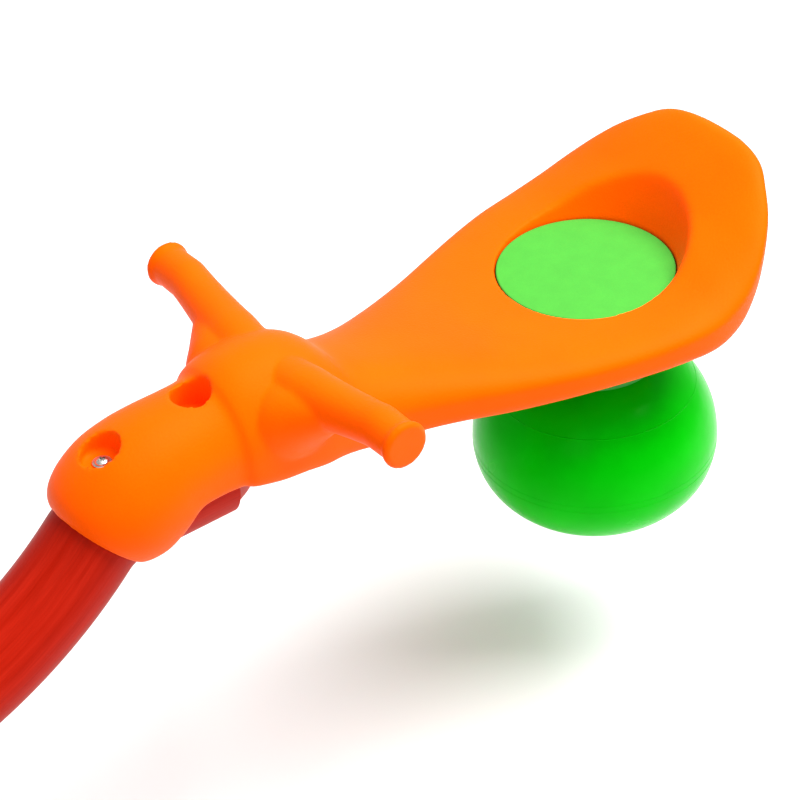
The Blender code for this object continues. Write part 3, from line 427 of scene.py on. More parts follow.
def makeRingTree():
    # a thin round ridge at each point, as wide as the point's own reach
    tree, start = newTree("mouldedRidges",
                          [("Ridge", "NodeSocketFloat", 0.0005), ("Sides", "NodeSocketInt", 128)])
    circle = addNode(tree, "GeometryNodeCurvePrimitiveCircle", {"Radius": 1.0},
                     {"Resolution": start.outputs["Sides"]})
    reach = addNode(tree, "GeometryNodeInputNamedAttribute", {"data_type": "FLOAT", "Name": "reach"})
    rings = addNode(tree, "GeometryNodeInstanceOnPoints", links={
        "Points": start.outputs["Geometry"], "Instance": circle.outputs[0], "Scale": reach.outputs[0]})
    real = addNode(tree, "GeometryNodeRealizeInstances", links={0: rings.outputs[0]})
    bead = addNode(tree, "GeometryNodeCurvePrimitiveCircle", {"Resolution": 10},
                   {"Radius": start.outputs["Ridge"]})
    swept = addNode(tree, "GeometryNodeCurveToMesh",
                    links={"Curve": real.outputs[0], "Profile Curve": bead.outputs[0]})
    return closeTree(tree, start, swept.outputs[0])


def makeWeldTree():
    # overlapping ripples of weld metal along a path
    tree, start = newTree("weldRipples",
                          [("Bead", "NodeSocketFloat", 0.002), ("Spacing", "NodeSocketFloat", 0.0014)])
    curve = addNode(tree, "GeometryNodeMeshToCurve", links={0: start.outputs["Geometry"]})
    steps = addNode(tree, "GeometryNodeResampleCurve", {"mode": "LENGTH"},
                    {"Curve": curve.outputs[0], "Length": start.outputs["Spacing"]})
    drop = addNode(tree, "GeometryNodeMeshIcoSphere", {"Subdivisions": 2}, {"Radius": start.outputs["Bead"]})
    size = addNode(tree, "FunctionNodeRandomValue", {"data_type": "FLOAT", 2: 0.85, 3: 1.1, "Seed": 4})
    beads = addNode(tree, "GeometryNodeInstanceOnPoints", links={
        "Points": steps.outputs[0], "Instance": drop.outputs[0], "Scale": size.outputs[1]})
    return closeTree(tree, start, beads.outputs[0])


def makeHexTree():
    # a six-sided head with a turned-down top, at each point, facing its own way
    tree, start = newTree("hexHeads", [("Across", "NodeSocketFloat", 0.0072),
                                       ("Height", "NodeSocketFloat", 0.0055),
                                       ("Shank", "NodeSocketFloat", 0.004),
                                       ("Length", "NodeSocketFloat", 0.02)])
    facing = addNode(tree, "GeometryNodeInputNamedAttribute", {"data_type": "FLOAT_VECTOR", "Name": "facing"})
    turn = addNode(tree, "FunctionNodeAlignRotationToVector", {"axis": "Z"}, {"Vector": facing.outputs[0]})
    body = addNode(tree, "ShaderNodeMath", {"operation": "MULTIPLY", 1: 0.82}, {0: start.outputs["Height"]})
    top = addNode(tree, "ShaderNodeMath", {"operation": "MULTIPLY", 1: 0.18}, {0: start.outputs["Height"]})
    small = addNode(tree, "ShaderNodeMath", {"operation": "MULTIPLY", 1: 0.86}, {0: start.outputs["Across"]})
    # the cones' middles stand at their lower faces
    lower = addNode(tree, "GeometryNodeMeshCone", {"Vertices": 6}, {
        "Radius Top": start.outputs["Across"], "Radius Bottom": start.outputs["Across"],
        "Depth": body.outputs[0]})
    upper = addNode(tree, "GeometryNodeMeshCone", {"Vertices": 6}, {
        "Radius Top": small.outputs[0], "Radius Bottom": start.outputs["Across"], "Depth": top.outputs[0]})
    lift = addNode(tree, "ShaderNodeCombineXYZ", links={"Z": body.outputs[0]})
    raised = addNode(tree, "GeometryNodeTransform",
                     links={0: upper.outputs[0], "Translation": lift.outputs[0]})
    shank = addNode(tree, "GeometryNodeMeshCone", {"Vertices": 24}, {
        "Radius Top": start.outputs["Shank"], "Radius Bottom": start.outputs["Shank"],
        "Depth": start.outputs["Length"]})
    down = addNode(tree, "ShaderNodeMath", {"operation": "MULTIPLY", 1: -1.0}, {0: start.outputs["Length"]})
    lower2 = addNode(tree, "ShaderNodeCombineXYZ", links={"Z": down.outputs[0]})
    sunk = addNode(tree, "GeometryNodeTransform",
                   links={0: shank.outputs[0], "Translation": lower2.outputs[0]})
    whole = addNode(tree, "GeometryNodeJoinGeometry")
    for part in (lower.outputs[0], raised.outputs[0], sunk.outputs[0]):
        tree.links.new(part, whole.inputs[0])
    placed = addNode(tree, "GeometryNodeInstanceOnPoints", links={
        "Points": start.outputs["Geometry"], "Instance": whole.outputs[0], "Rotation": turn.outputs[0]})
    return closeTree(tree, start, placed.outputs[0])


def pointsWith(points, attribute, kind, values):
    mesh = bpy.data.meshes.new("points")
    mesh.from_pydata([tuple(point) for point in points], [], [])
    layer = mesh.attributes.new(attribute, kind, "POINT")
    for i, value in enumerate(values):
        if kind == "FLOAT":
            layer.data[i].value = value
        else:
            layer.data[i].vector = value
    return mesh


tubeTree, ringTree, weldTree, hexTree = makeTubeTree(), makeRingTree(), makeWeldTree(), makeHexTree()


def pipe(routes, radius, wall, material, sides=64):
    # open-ended tube of real wall thickness along each route
    mesh = grow(tubeTree, lineMesh(routes), material, {"Radius": radius, "Sides": sides})
    bm = bmesh.new()
    bm.from_mesh(mesh)
    bmesh.ops.remove_doubles(bm, verts=bm.verts, dist=0.000005)
    middle = bm.faces[:][0]
    bmesh.ops.recalc_face_normals(bm, faces=bm.faces)
    # outwards is away from the nearest point of the route
    centre = middle.calc_center_median()
    near = min((Vector(p) for route in routes for p in route), key=lambda p: (p - centre).length)
    if (centre - near).dot(middle.normal) < 0.0:
        bmesh.ops.reverse_faces(bm, faces=bm.faces)
    bm.to_mesh(mesh)
    bm.free()
    obj = scratchObject(mesh)
    solid = obj.modifiers.new("wall", "SOLIDIFY")
    solid.thickness = wall
    solid.offset = -1.0
    return bakeObject(obj)


# ---- where the ends are
padLow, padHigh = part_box("seat_pad_a")
endPlaces = {
    "a": Matrix.Translation(((padLow.x + padHigh.x) / 2.0, 0.0, padHigh.z)),
    "b": Matrix.Translation((-(padLow.x + padHigh.x) / 2.0, 0.0, padHigh.z)) @ turnEnd}

joinGap = 0.0003   # between pieces that touch
farDown = -0.150   # below anything near a seat
farUp = 0.150
tube = {"radius": 0.038, "wall": 0.002, "mainBend": 0.349, "neckBend": 0.050, "angle": math.radians(44.0),
        "mouthX": -0.502, "endX": -0.384, "neckZ": -0.0175, "mainSteps": 30, "neckSteps": 12, "gap": 0.0006}


def tubeRoute():
    # centre line of one half of the beam, seen from the middle of the seat pad
    angle = tube["angle"]
    mouthZ = tube["neckZ"] - tube["neckBend"] * (1.0 - math.cos(angle))
    beamZ = mouthZ - tube["mainBend"] * (1.0 - math.cos(angle))
    bendX = tube["mouthX"] - tube["mainBend"] * math.sin(angle)
    start = -(padLow.x + padHigh.x) / 2.0 + tube["gap"]
    points = [Vector((start + (bendX - start) * i / 10, 0.0, beamZ)) for i in range(11)]
    for i in range(1, tube["mainSteps"] + 1):
        a = angle * i / tube["mainSteps"]
        points.append(Vector((bendX + tube["mainBend"] * math.sin(a), 0.0,
                              beamZ + tube["mainBend"] * (1.0 - math.cos(a)))))
    neckX = tube["mouthX"] + tube["neckBend"] * math.sin(angle)
    for i in range(1, tube["neckSteps"] + 1):
        a = angle * (1.0 - i / tube["neckSteps"])
        points.append(Vector((neckX - tube["neckBend"] * math.sin(a), 0.0,
                              tube["neckZ"] - tube["neckBend"] * (1.0 - math.cos(a)))))
    points.append(Vector((tube["endX"], 0.0, tube["neckZ"])))
    return points


# ---- seat shell
seat = {
    "padRadius": 0.0765, "wellGap": 0.0011, "wellFloor": -0.0123, "crestRadius": 0.090, "crestHeight": 0.040,
    "screwX": (-0.479, -0.396), "screwWell": 0.0160, "screwFloor": 0.036,
    "screwShelf": 0.010, "hollowCorner": 0.012, "tubeRoom": 0.020, "lip": 0.020, "plugRoom": 0.044,
    "handleX": -0.312, "handleZ": 0.062, "handleReach": 0.164, "grip": 0.0172, "flange": 1.135,
    "rootSweep": 0.017, "rootSpan": 0.130, "gripStart": 0.150,
    "handleTaper": ((0.0, 0.0250), (0.045, 0.0238), (0.060, 0.0222), (0.075, 0.0207), (0.095, 0.0191),
                    (0.115, 0.0180), (0.135, 0.0175)),
    "rootFlare": ((0.0, -0.337, 0.030, 0.0360, 0.0370), (0.044, -0.337, 0.030, 0.0360, 0.0360),
                  (0.056, -0.335, 0.033, 0.0320, 0.0330), (0.066, -0.331, 0.039, 0.0260, 0.0265),
                  (0.076, -0.327, 0.0450, 0.0205, 0.0205), (0.086, -0.323, 0.0505, 0.0150, 0.0150)),
    "voxel": 0.0020, "softRounds": 3, "blendRounds": 8, "blendFrom": -0.012, "blendOut": 0.054,
    "blendWide": 0.024, "blendAlong": 0.055, "blendGain": 1.6, "crestRounds": 40, "crestFrom": 0.006,
    "crestInner": 0.078, "crestOuter": 0.118, "crestFade": 0.012, "crestRise": 0.010,
    "betweenSections": 5, "acrossTop": 56, "acrossUnder": 18}

# along the seat from its mouth: x, height of the widest line, tilt, half width, crown, crown sharpness,
# dish, depth below, underside roundness
seatSections = (
    (-0.493, -0.0240, 44, 0.0430, 0.0420, 2.0, 0.0, 0.0430, 1.0),
    (-0.4895, -0.0205, 44, 0.0475, 0.0470, 2.0, 0.0, 0.0475, 1.0),
    (-0.483, -0.015, 42, 0.0520, 0.0520, 2.0, 0.0, 0.0510, 1.0),
    (-0.473, -0.008, 36, 0.0555, 0.0550, 2.0, 0.0, 0.0520, 1.0),
    (-0.459, 0.001, 28, 0.0560, 0.0550, 2.0, 0.0, 0.0490, 0.9),
    (-0.443, 0.007, 18, 0.0545, 0.0530, 2.0, 0.0, 0.0340, 0.6),
    (-0.427, 0.011, 9, 0.0520, 0.0505, 2.0, 0.0, 0.0230, 0.4),
    (-0.406, 0.012, 3, 0.0505, 0.0500, 2.0, 0.0, 0.0220, 0.35),
    (-0.391, 0.0125, 1, 0.0500, 0.0505, 2.0, 0.0, 0.0240, 0.35),
    (-0.384, 0.0130, 0, 0.0510, 0.0520, 2.0, 0.0, 0.0250, 0.35),
    (-0.378, 0.0135, 0, 0.0550, 0.0570, 2.0, 0.0, 0.0275, 0.35),
    (-0.366, 0.014, 0, 0.0575, 0.0615, 2.0, 0.0, 0.0305, 0.35),
    (-0.350, 0.014, 0, 0.0585, 0.0640, 2.0, 0.0, 0.0340, 0.35),
    (-0.331, 0.013, 0, 0.0590, 0.0650, 2.0, 0.0, 0.0350, 0.35),
    (-0.312, 0.010, 0, 0.0590, 0.0640, 2.0, 0.0, 0.0350, 0.35),
    (-0.296, 0.007, 0, 0.0585, 0.0590, 2.0, 0.0, 0.0320, 0.35),
    (-0.282, 0.003, 0, 0.0580, 0.0510, 2.0, 0.0, 0.0300, 0.35),
    (-0.270, 0.000, 0, 0.0585, 0.0400, 2.1, 0.0, 0.0290, 0.35),
    (-0.246, -0.004, 0, 0.0610, 0.0340, 2.3, 0.0, 0.0270, 0.35),
    (-0.218, -0.007, 0, 0.0670, 0.0285, 2.6, 0.0, 0.0250, 0.35),
    (-0.188, -0.009, 0, 0.0760, 0.0240, 3.0, 0.0, 0.0250, 0.35),
    (-0.156, -0.011, 0, 0.0870, 0.0200, 3.6, 0.0, 0.0260, 0.35),
    (-0.122, -0.012, 0, 0.0990, 0.0160, 4.6, 0.0005, 0.0260, 0.35),
    (-0.086, -0.012, 0, 0.1120, 0.0140, 6.0, 0.0010, 0.0250, 0.35),
    (-0.048, -0.011, 0, 0.1240, 0.0130, 8.0, 0.0010, 0.0250, 0.35),
    (-0.010, -0.009, 0, 0.1330, 0.0125, 9.0, -0.0005, 0.0270, 0.35),
    (0.028, -0.006, 0, 0.1365, 0.0125, 9.0, -0.0080, 0.0330, 0.38),
    (0.058, 0.003, 0, 0.1325, 0.0130, 8.0, -0.0145, 0.0420, 0.48),
    (0.082, 0.017, 0, 0.1240, 0.0130, 7.0, -0.0125, 0.0510, 0.64),
    (0.102, 0.0325, 0, 0.1115, 0.0130, 6.0, -0.0100, 0.0580, 0.78),
    (0.119, 0.0470, 0, 0.0965, 0.0130, 5.0, -0.0065, 0.0580, 0.9),
    (0.133, 0.0595, 0, 0.0780, 0.0125, 4.2, -0.0040, 0.0540, 0.96),
    (0.143, 0.0664, 0, 0.0630, 0.0128, 3.6, -0.0020, 0.0460, 1.0),
    (0.149, 0.0684, 0, 0.0470, 0.0117, 3.0, 0.0, 0.0370, 1.0),
    (0.1508, 0.0686, 0, 0.0370, 0.0108, 2.6, 0.0, 0.0300, 1.0),
    (0.152, 0.0686, 0, 0.0220, 0.0090, 2.4, 0.0, 0.0220, 1.0))
# hollow under the seat: x, half width, ceiling
hollowSections = (
    (-0.360, 0.044, 0.030), (-0.320, 0.050, 0.042), (-0.275, 0.049, 0.018), (-0.225, 0.056, 0.004),
    (-0.170, 0.072, -0.006), (-0.120, 0.090, -0.018), (-0.075, 0.106, -0.0203), (-0.010, 0.123, -0.0203),
    (0.045, 0.126, -0.0203), (0.085, 0.110, -0.012), (0.108, 0.086, 0.010), (0.124, 0.060, 0.024))


def curvePoint(p, q, r, s, t):
    # on a smooth curve from q to r that also heads for its neighbours p and s
    bend = (2 * p - 5 * q + 4 * r - s) * t * t
    return 0.5 * (2 * q + (r - p) * t + bend + (3 * q - p - 3 * r + s) * t ** 3)


def between(rows, count):
    # rows with a smooth curve through every column
    made = []
    for i in range(len(rows) - 1):
        a, b, c, d = (rows[max(i - 1, 0)], rows[i], rows[i + 1], rows[min(i + 2, len(rows) - 1)])
        for k in range(count):
            made.append(tuple(curvePoint(p, q, r, s, k / count) for p, q, r, s in zip(a, b, c, d)))
    made.append(rows[-1])
    return made


def seatRing(section):
    x, z, tilt, halfWidth, crown, sharpness, dish, below, roundness = section
    lean = math.radians(tilt)
    up = Vector((-math.sin(lean), 0.0, math.cos(lean)))
    middle = Vector((x, 0.0, z))
    ring = []
    for i in range(seat["acrossTop"] + 1):
        share = math.sin(math.pi * (i / seat["acrossTop"] - 0.5))
        rise = crown * math.sqrt(max(0.0, 1.0 - abs(share) ** sharpness)) - dish * (1.0 - share ** 2)
        ring.append(middle + Vector((0.0, halfWidth * share, 0.0)) + up * rise)
    steps = seat["acrossUnder"]
    for i in range(1, 2 * steps):
        a = math.pi / 4.0 * (1.0 - math.cos(math.pi * (i if i <= steps else 2 * steps - i) / steps))
        side = 1.0 if i <= steps else -1.0
        y = halfWidth * max(math.cos(a), 0.0) ** roundness
        ring.append(middle + Vector((0.0, side * y, 0.0)) - up * below * math.sin(a) ** roundness)
    return ring


def roundBar(side, stations):
    # a bar out to one side through ellipses: reach, x, z, half length, half height
    rings = []
    for out, x, z, long, high in stations:
        rings.append([Vector((x + long * math.cos(a), side * out, z + high * math.sin(a)))
                      for a in (2.0 * math.pi * i / 64 for i in range(64))])
    return lofted(rings)


def handleMesh(side):
    tip, grip = seat["handleReach"], seat["grip"]
    wide = grip * seat["flange"]
    tapers = between(seat["handleTaper"] + ((seat["gripStart"], grip),), 4)
    # the round stop at the tip: how far in from it, radius
    tapers += [(tip - inward, radius) for inward, radius in (
        (0.0085, grip), (0.0070, grip * 1.03), (0.0055, wide), (0.0015, wide), (0.0, wide - 0.0025))]
    stations = []
    for out, radius in tapers:
        sweep = seat["rootSweep"] * max(0.0, 1.0 - out / seat["rootSpan"])
        stations.append((out, seat["handleX"] - sweep, seat["handleZ"] - sweep, radius, radius))
    return together(roundBar(side, stations), roundBar(side, between(seat["rootFlare"], 4)))


def seatMesh():
    body = lofted([seatRing(section) for section in between(seatSections, seat["betweenSections"])])
    rings = []
    for x, halfWidth, ceiling in between(hollowSections, 3):
        corners = [(-halfWidth, farDown), (halfWidth, farDown), (halfWidth, ceiling), (-halfWidth, ceiling)]
        shoulder = softened([corners[1], corners[2], corners[3], corners[0]], seat["hollowCorner"], steps=5)
        rings.append([Vector((x, y, z)) for y, z in shoulder])
    hollow = lofted(rings)
    route = tubeRoute()[9:]
    route[-1] = route[-1] + Vector((seat["tubeRoom"], 0.0, 0.0))
    bore = tube["radius"] + tube["gap"]
    channel = grow(tubeTree, lineMesh([route]), seatPlastic, {"Radius": bore, "Sides": 48})
    bm = bmesh.new()
    bm.from_mesh(channel)
    bmesh.ops.holes_fill(bm, edges=bm.edges)
    channel = meshFrom(bm, "channel")
    slotStart = tube["mouthX"] + tube["neckBend"] * math.sin(tube["angle"]) + seat["lip"]
    # a hair past the channel, so that no two faces lie in one plane
    slotEnd = tube["endX"] + seat["tubeRoom"] + 0.00005
    slot = boxMesh((slotStart, -bore, farDown), (slotEnd, bore, tube["neckZ"]))
    plugRoom = boxMesh((tube["endX"], -bore, farDown),
                       (tube["endX"] + seat["plugRoom"], bore, seat["screwFloor"] - seat["screwShelf"]))
    wellRadius = seat["padRadius"] + seat["wellGap"]
    lean = (seat["crestRadius"] - wellRadius) / seat["crestHeight"]
    well = lathe([(0.0, farUp), (wellRadius + lean * farUp, farUp), (wellRadius, 0.0),
                  (wellRadius, seat["wellFloor"]), (0.0, seat["wellFloor"])], 128)
    screwWells = [rod(seat["screwWell"], (x, 0, seat["screwFloor"]), (x, 0, farUp), 64)
                  for x in seat["screwX"]]
    body = carve(body, hollow, channel, slot, plugRoom, well, *screwWells)
    skin = melted(together(body, handleMesh(1.0), handleMesh(-1.0)), seat["voxel"], seat["softRounds"])
    # a small blend where a handle leaves the hump, on the upper side only, and a soft roll over the
    # top of the wall behind the pad
    obj = scratchObject(skin)
    blend = obj.vertex_groups.new(name="blend")
    crest = obj.vertex_groups.new(name="crest")
    for vertex in skin.vertices:
        x, y, z = vertex.co
        reach = max(0.0, 1.0 - abs(abs(y) - seat["blendOut"]) / seat["blendWide"])
        reach *= max(0.0, 1.0 - abs(x - seat["handleX"]) / seat["blendAlong"])
        if z > seat["blendFrom"] and reach > 0.0:
            blend.add([vertex.index], min(1.0, reach * seat["blendGain"]), "REPLACE")
        ring = math.hypot(x, y)
        if z > seat["crestFrom"] and seat["crestInner"] < ring < seat["crestOuter"]:
            fade = (seat["crestOuter"] - ring) / seat["crestFade"]
            rise = (z - seat["crestFrom"]) / seat["crestRise"]
            crest.add([vertex.index], min(1.0, fade, rise), "REPLACE")
    for label in ("blend", "crest"):
        rollOver = obj.modifiers.new(label, "SMOOTH")
        rollOver.vertex_group = label
        rollOver.factor = 0.5
        rollOver.iterations = seat[label + "Rounds"]
    mesh = bakeObject(obj)
    bm = bmesh.new()
    bm.from_mesh(mesh)
    return meshFrom(bm, "seat")


seatShape = seatMesh()
print("seat faces", len(seatShape.polygons))

# ---- pad
pad = {"radius": 0.0765, "thickness": 0.012, "edge": 0.0024, "crown": 0.0006, "flatShare": 0.955}
padProfile = [(0.0, 0.0)]
padProfile += [(pad["radius"] * s, -pad["crown"] * s ** 4) for s in (0.2, 0.4, 0.6, 0.75, 0.86, 0.93)]
padProfile += softened([(pad["radius"] * pad["flatShare"], -pad["crown"]), (pad["radius"], -pad["crown"]),
                        (pad["radius"], -pad["thickness"])], pad["edge"], steps=7)
padProfile += [(0.0, -pad["thickness"])]
padShape = lathe(padProfile, 160)

# ---- ball bumper
ball = {"x": 0.008, "radius": 0.109, "centreZ": -0.177, "below": 0.082, "above": 0.098, "flattening": 0.86,
        "wall": 0.005, "mouth": 0.0083, "valve": 0.0065, "ridge": 0.0005, "ridgeSink": 0.0003,
        "lowerRings": (85.5, 89.0), "upperRings": (55.5,)}


def ballPoint(angle, share=1.0):
    # angle in degrees from the top of the ball
    a = math.radians(angle)
    if angle < 90.0:
        rise = ball["above"] * math.cos(a)
    else:
        rise = -ball["below"] * abs(math.cos(a)) ** ball["flattening"]
    return ball["radius"] * math.sin(a) * share, ball["centreZ"] + rise * share


firstAngle = math.degrees(math.asin(ball["mouth"] / ball["radius"]))
lastAngle = 180.0 - math.degrees(math.asin(ball["valve"] / ball["radius"]))
outer = [ballPoint(firstAngle + (lastAngle - firstAngle) * i / 72) for i in range(73)]
inner = [ballPoint(firstAngle + (lastAngle - firstAngle) * i / 30, 1.0 - ball["wall"] / ball["radius"])
         for i in range(31)]
inner[0] = (ball["mouth"], inner[0][1])
inner[-1] = (ball["valve"], inner[-1][1])
ballShape = lathe(outer + inner[::-1], 128, closed=True)
ringSpots = [ballPoint(a) for a in ball["upperRings"]] + [ballPoint(180.0 - a) for a in ball["lowerRings"]]
ringSeeds = pointsWith([(0, 0, z) for r, z in ringSpots], "reach", "FLOAT",
                       [r - ball["ridgeSink"] for r, z in ringSpots])
ringShape = grow(ringTree, ringSeeds, ballVinyl, {"Ridge": ball["ridge"]})

# ---- cup between the seat and the ball
cup = {"radius": 0.058, "top": -0.0206, "edge": 0.0015, "topShare": 0.86, "neckShare": 0.90, "neckZ": -0.050,
       "lip": 0.006, "lipEdge": 0.0012, "ballGap": 0.0006, "lastAngle": 32.0}
cupAngles = [firstAngle + (cup["lastAngle"] - firstAngle) * i / 14 for i in range(15)]
lipZ = ball["centreZ"] + ball["above"] * math.sqrt(1.0 - (cup["radius"] / ball["radius"]) ** 2)
cupUnder = [p for p in (ballPoint(a, 1.0 + cup["ballGap"] / ball["radius"]) for a in cupAngles)
            if p[0] < cup["radius"] - 0.001]
cupProfile = softened([(ball["mouth"], cup["top"]), (cup["radius"] * cup["topShare"], cup["top"]),
                       (cup["radius"] * cup["neckShare"], cup["neckZ"]), (cup["radius"], lipZ + cup["lip"]),
                       (cup["radius"], lipZ + cup["lipEdge"])], cup["edge"], steps=5)
cupShape = lathe(cupProfile + cupUnder[::-1], 96, closed=True)

# ---- plug in the tube's end, screws and valve
plug = {"radius": 0.0351, "reach": 0.024, "depth": 0.020, "taper": 0.72, "edge": 0.010, "straight": 0.002}
plugShape = lathe(softened([(0.0, -plug["depth"]), (plug["radius"], -plug["depth"]),
                            (plug["radius"], plug["straight"]),
                            (plug["radius"] * plug["taper"], plug["reach"]), (0.0, plug["reach"])],
                           plug["edge"], steps=5), 72)
tubeEnd = Matrix.Translation((tube["endX"], 0.0, tube["neckZ"]))
plugShape.transform(tubeEnd @ Matrix.Rotation(math.pi / 2, 4, "Y"))

screw = {"head": 0.0058, "height": 0.0040, "shank": 0.0036, "length": 0.028, "washer": 0.0078,
         "washerHeight": 0.0010, "slotReach": 0.0032, "slotWidth": 0.0016, "slotFloor": 0.0020,
         "slotTop": 0.010, "headFoot": 0.0002, "shankTop": 0.0006, "lift": 0.0004}


def screwMesh():
    head = lathe([(0.0, screw["height"])] + [
        (screw["head"] * math.sin(a),
         screw["washerHeight"] + (screw["height"] - screw["washerHeight"]) * math.cos(a))
        for a in (math.pi / 2 * i / 10 for i in range(1, 11))] + [
            (screw["head"], screw["headFoot"]), (0.0, screw["headFoot"])], 64)
    half = screw["slotWidth"] / 2.0
    arm = boxMesh((-screw["slotReach"], -half, screw["slotFloor"]),
                  (screw["slotReach"], half, screw["slotTop"]))
    cross = boxMesh((-half, -screw["slotReach"], screw["slotFloor"]),
                    (half, screw["slotReach"], screw["slotTop"]))
    head = carve(head, arm, cross)
    hole = screw["shank"] + joinGap
    ring = [(hole, 0.0), (screw["washer"], 0.0), (screw["washer"], screw["washerHeight"]),
            (hole, screw["washerHeight"])]
    washer = lathe(softened(ring, 0.0003, closed=True), 64, closed=True)
    shank = rod(screw["shank"], (0, 0, screw["shankTop"]), (0, 0, -screw["length"]), 32)
    return together(fuse(head, shank), washer)


screwShape = moved(screwMesh(), *[Matrix.Translation((x, 0.0, seat["screwFloor"] + screw["lift"]))
                                  for x in seat["screwX"]])
valve = {"radius": 0.0062, "length": 0.0128, "needle": 0.0018, "needleDepth": 0.004, "sink": 0.0012,
         "edge": 0.0006}
valveZ = ball["centreZ"] - ball["below"] + valve["sink"]
valveTop = valveZ + valve["length"]
needleTop = valveZ + valve["needleDepth"]
valveShape = lathe(softened([(0.0, valveTop), (valve["radius"], valveTop), (valve["radius"], valveZ),
                             (valve["needle"], valveZ), (valve["needle"], needleTop), (0.0, needleTop)],
                            valve["edge"]), 48)

beamPipe = pipe([tubeRoute()], tube["radius"], tube["wall"], tubePaint, 96)
ballPlace = Matrix.Translation((ball["x"], 0.0, 0.0))
for label, place in endPlaces.items():
    addPiece("seat_moulding_" + label, moved(seatShape, place), seatPlastic, "beam",
             ["seat_shell_" + label])
    padPiece = addPiece("pad_disc_" + label, moved(padShape, place), padFoam, "beam", ["seat_pad_" + label])
    addPiece("bumper_" + label, moved(ballShape, place @ ballPlace), ballVinyl, "beam", ["ball_" + label])
    addPiece("bumper_rings_" + label, moved(ringShape, place @ ballPlace), ballVinyl, "beam")
    addPiece("bumper_cup_" + label, moved(cupShape, place @ ballPlace), cupPlastic, "beam",
             ["ball_socket_" + label])
    addPiece("valve_plug_" + label, moved(valveShape, place @ ballPlace), valveWhite, "beam",
             ["ball_valve_" + label])
    addPiece("tube_half_" + label, moved(beamPipe, place), tubePaint, "beam", ["beam_tube_" + label])
    addPiece("end_plug_" + label, moved(plugShape, place), plugPlastic, "beam", ["tube_plug_" + label])
    addPiece("neck_screws_" + label, moved(screwShape, place), zincPlate, "beam",
             ["neck_screw_front_" + label, "neck_screw_rear_" + label])
print("ends made")

# ---- centre sleeve on the beam, with the hub that the axle runs through
axleLow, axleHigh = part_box("axle")
axleZ = (axleLow.z + axleHigh.z) / 2.0
sleeve = {"radius": 0.0443, "bore": 0.0383, "halfLength": 0.100, "beamZ": axleZ - 0.066, "edge": 0.0012,
          "boltX": (-0.086, -0.062, 0.062, 0.086), "boltHole": 0.0043, "boltSeat": 0.0446,
          "boltDrill": 0.060, "boltLength": 0.1006, "hubRadius": 0.0168, "hubBore": 0.0118, "hubHalf": 0.042,
          "webHalf": 0.030, "webMiddle": 0.024, "webWide": 0.007, "webFoot": 0.030,
          "bead": 0.0021, "spacing": 0.0015}
alongY = Matrix.Rotation(-math.pi / 2, 4, "X")


def sleeveMesh():
    beam = sleeve["beamZ"]
    shell = rod(sleeve["radius"], (-sleeve["halfLength"], 0, beam), (sleeve["halfLength"], 0, beam), 96)
    hub = rod(sleeve["hubRadius"], (0, -sleeve["hubHalf"], axleZ), (0, sleeve["hubHalf"], axleZ), 72)
    webs = [boxMesh((-sleeve["webHalf"], side * sleeve["webMiddle"] - sleeve["webWide"],
                     beam + sleeve["webFoot"]),
                    (sleeve["webHalf"], side * sleeve["webMiddle"] + sleeve["webWide"], axleZ))
            for side in (-1.0, 1.0)]
    solid = fuse(shell, *webs, hub)
    past = sleeve["halfLength"] + 0.002
    far = sleeve["boltDrill"]
    solid = carve(solid, rod(sleeve["bore"], (-past, 0, beam), (past, 0, beam), 96),
                  rod(sleeve["hubBore"], (0, -past, axleZ), (0, past, axleZ), 72),
                  *[rod(sleeve["boltHole"], (x, -far, beam), (x, far, beam), 32) for x in sleeve["boltX"]])
    return bevelled(solid, sleeve["edge"], 2, 40.0)


def sleeveWelds():
    # a bead along each web's foot, round its ends, and where it meets the hub
    beam, routes = sleeve["beamZ"], []
    for side in (-1.0, 1.0):
        faces = [side * sleeve["webMiddle"] - sleeve["webWide"],
                 side * sleeve["webMiddle"] + sleeve["webWide"]]
        reach = sleeve["webHalf"]
        corners = [(-reach, faces[0]), (reach, faces[0]), (reach, faces[1]), (-reach, faces[1]),
                   (-reach, faces[0])]
        foot = []
        for (x0, y0), (x1, y1) in zip(corners, corners[1:]):
            for k in range(8):
                x, y = x0 + (x1 - x0) * k / 8, y0 + (y1 - y0) * k / 8
                foot.append(Vector((x, y, beam + math.sqrt(sleeve["radius"] ** 2 - y * y))))
        foot.append(foot[0].copy())
        routes.append(foot)
        for end in (-1.0, 1.0):
            routes.append([Vector((end * sleeve["hubRadius"], y, axleZ)) for y in faces])
    return grow(weldTree, lineMesh(routes), platePaint,
                {"Bead": sleeve["bead"], "Spacing": sleeve["spacing"]})


def hexRow(places, facing, across, height, shank, length):
    return grow(hexTree, pointsWith(places, "facing", "FLOAT_VECTOR", [facing] * len(places)), zincPlate,
                {"Across": across, "Height": height, "Shank": shank, "Length": length})


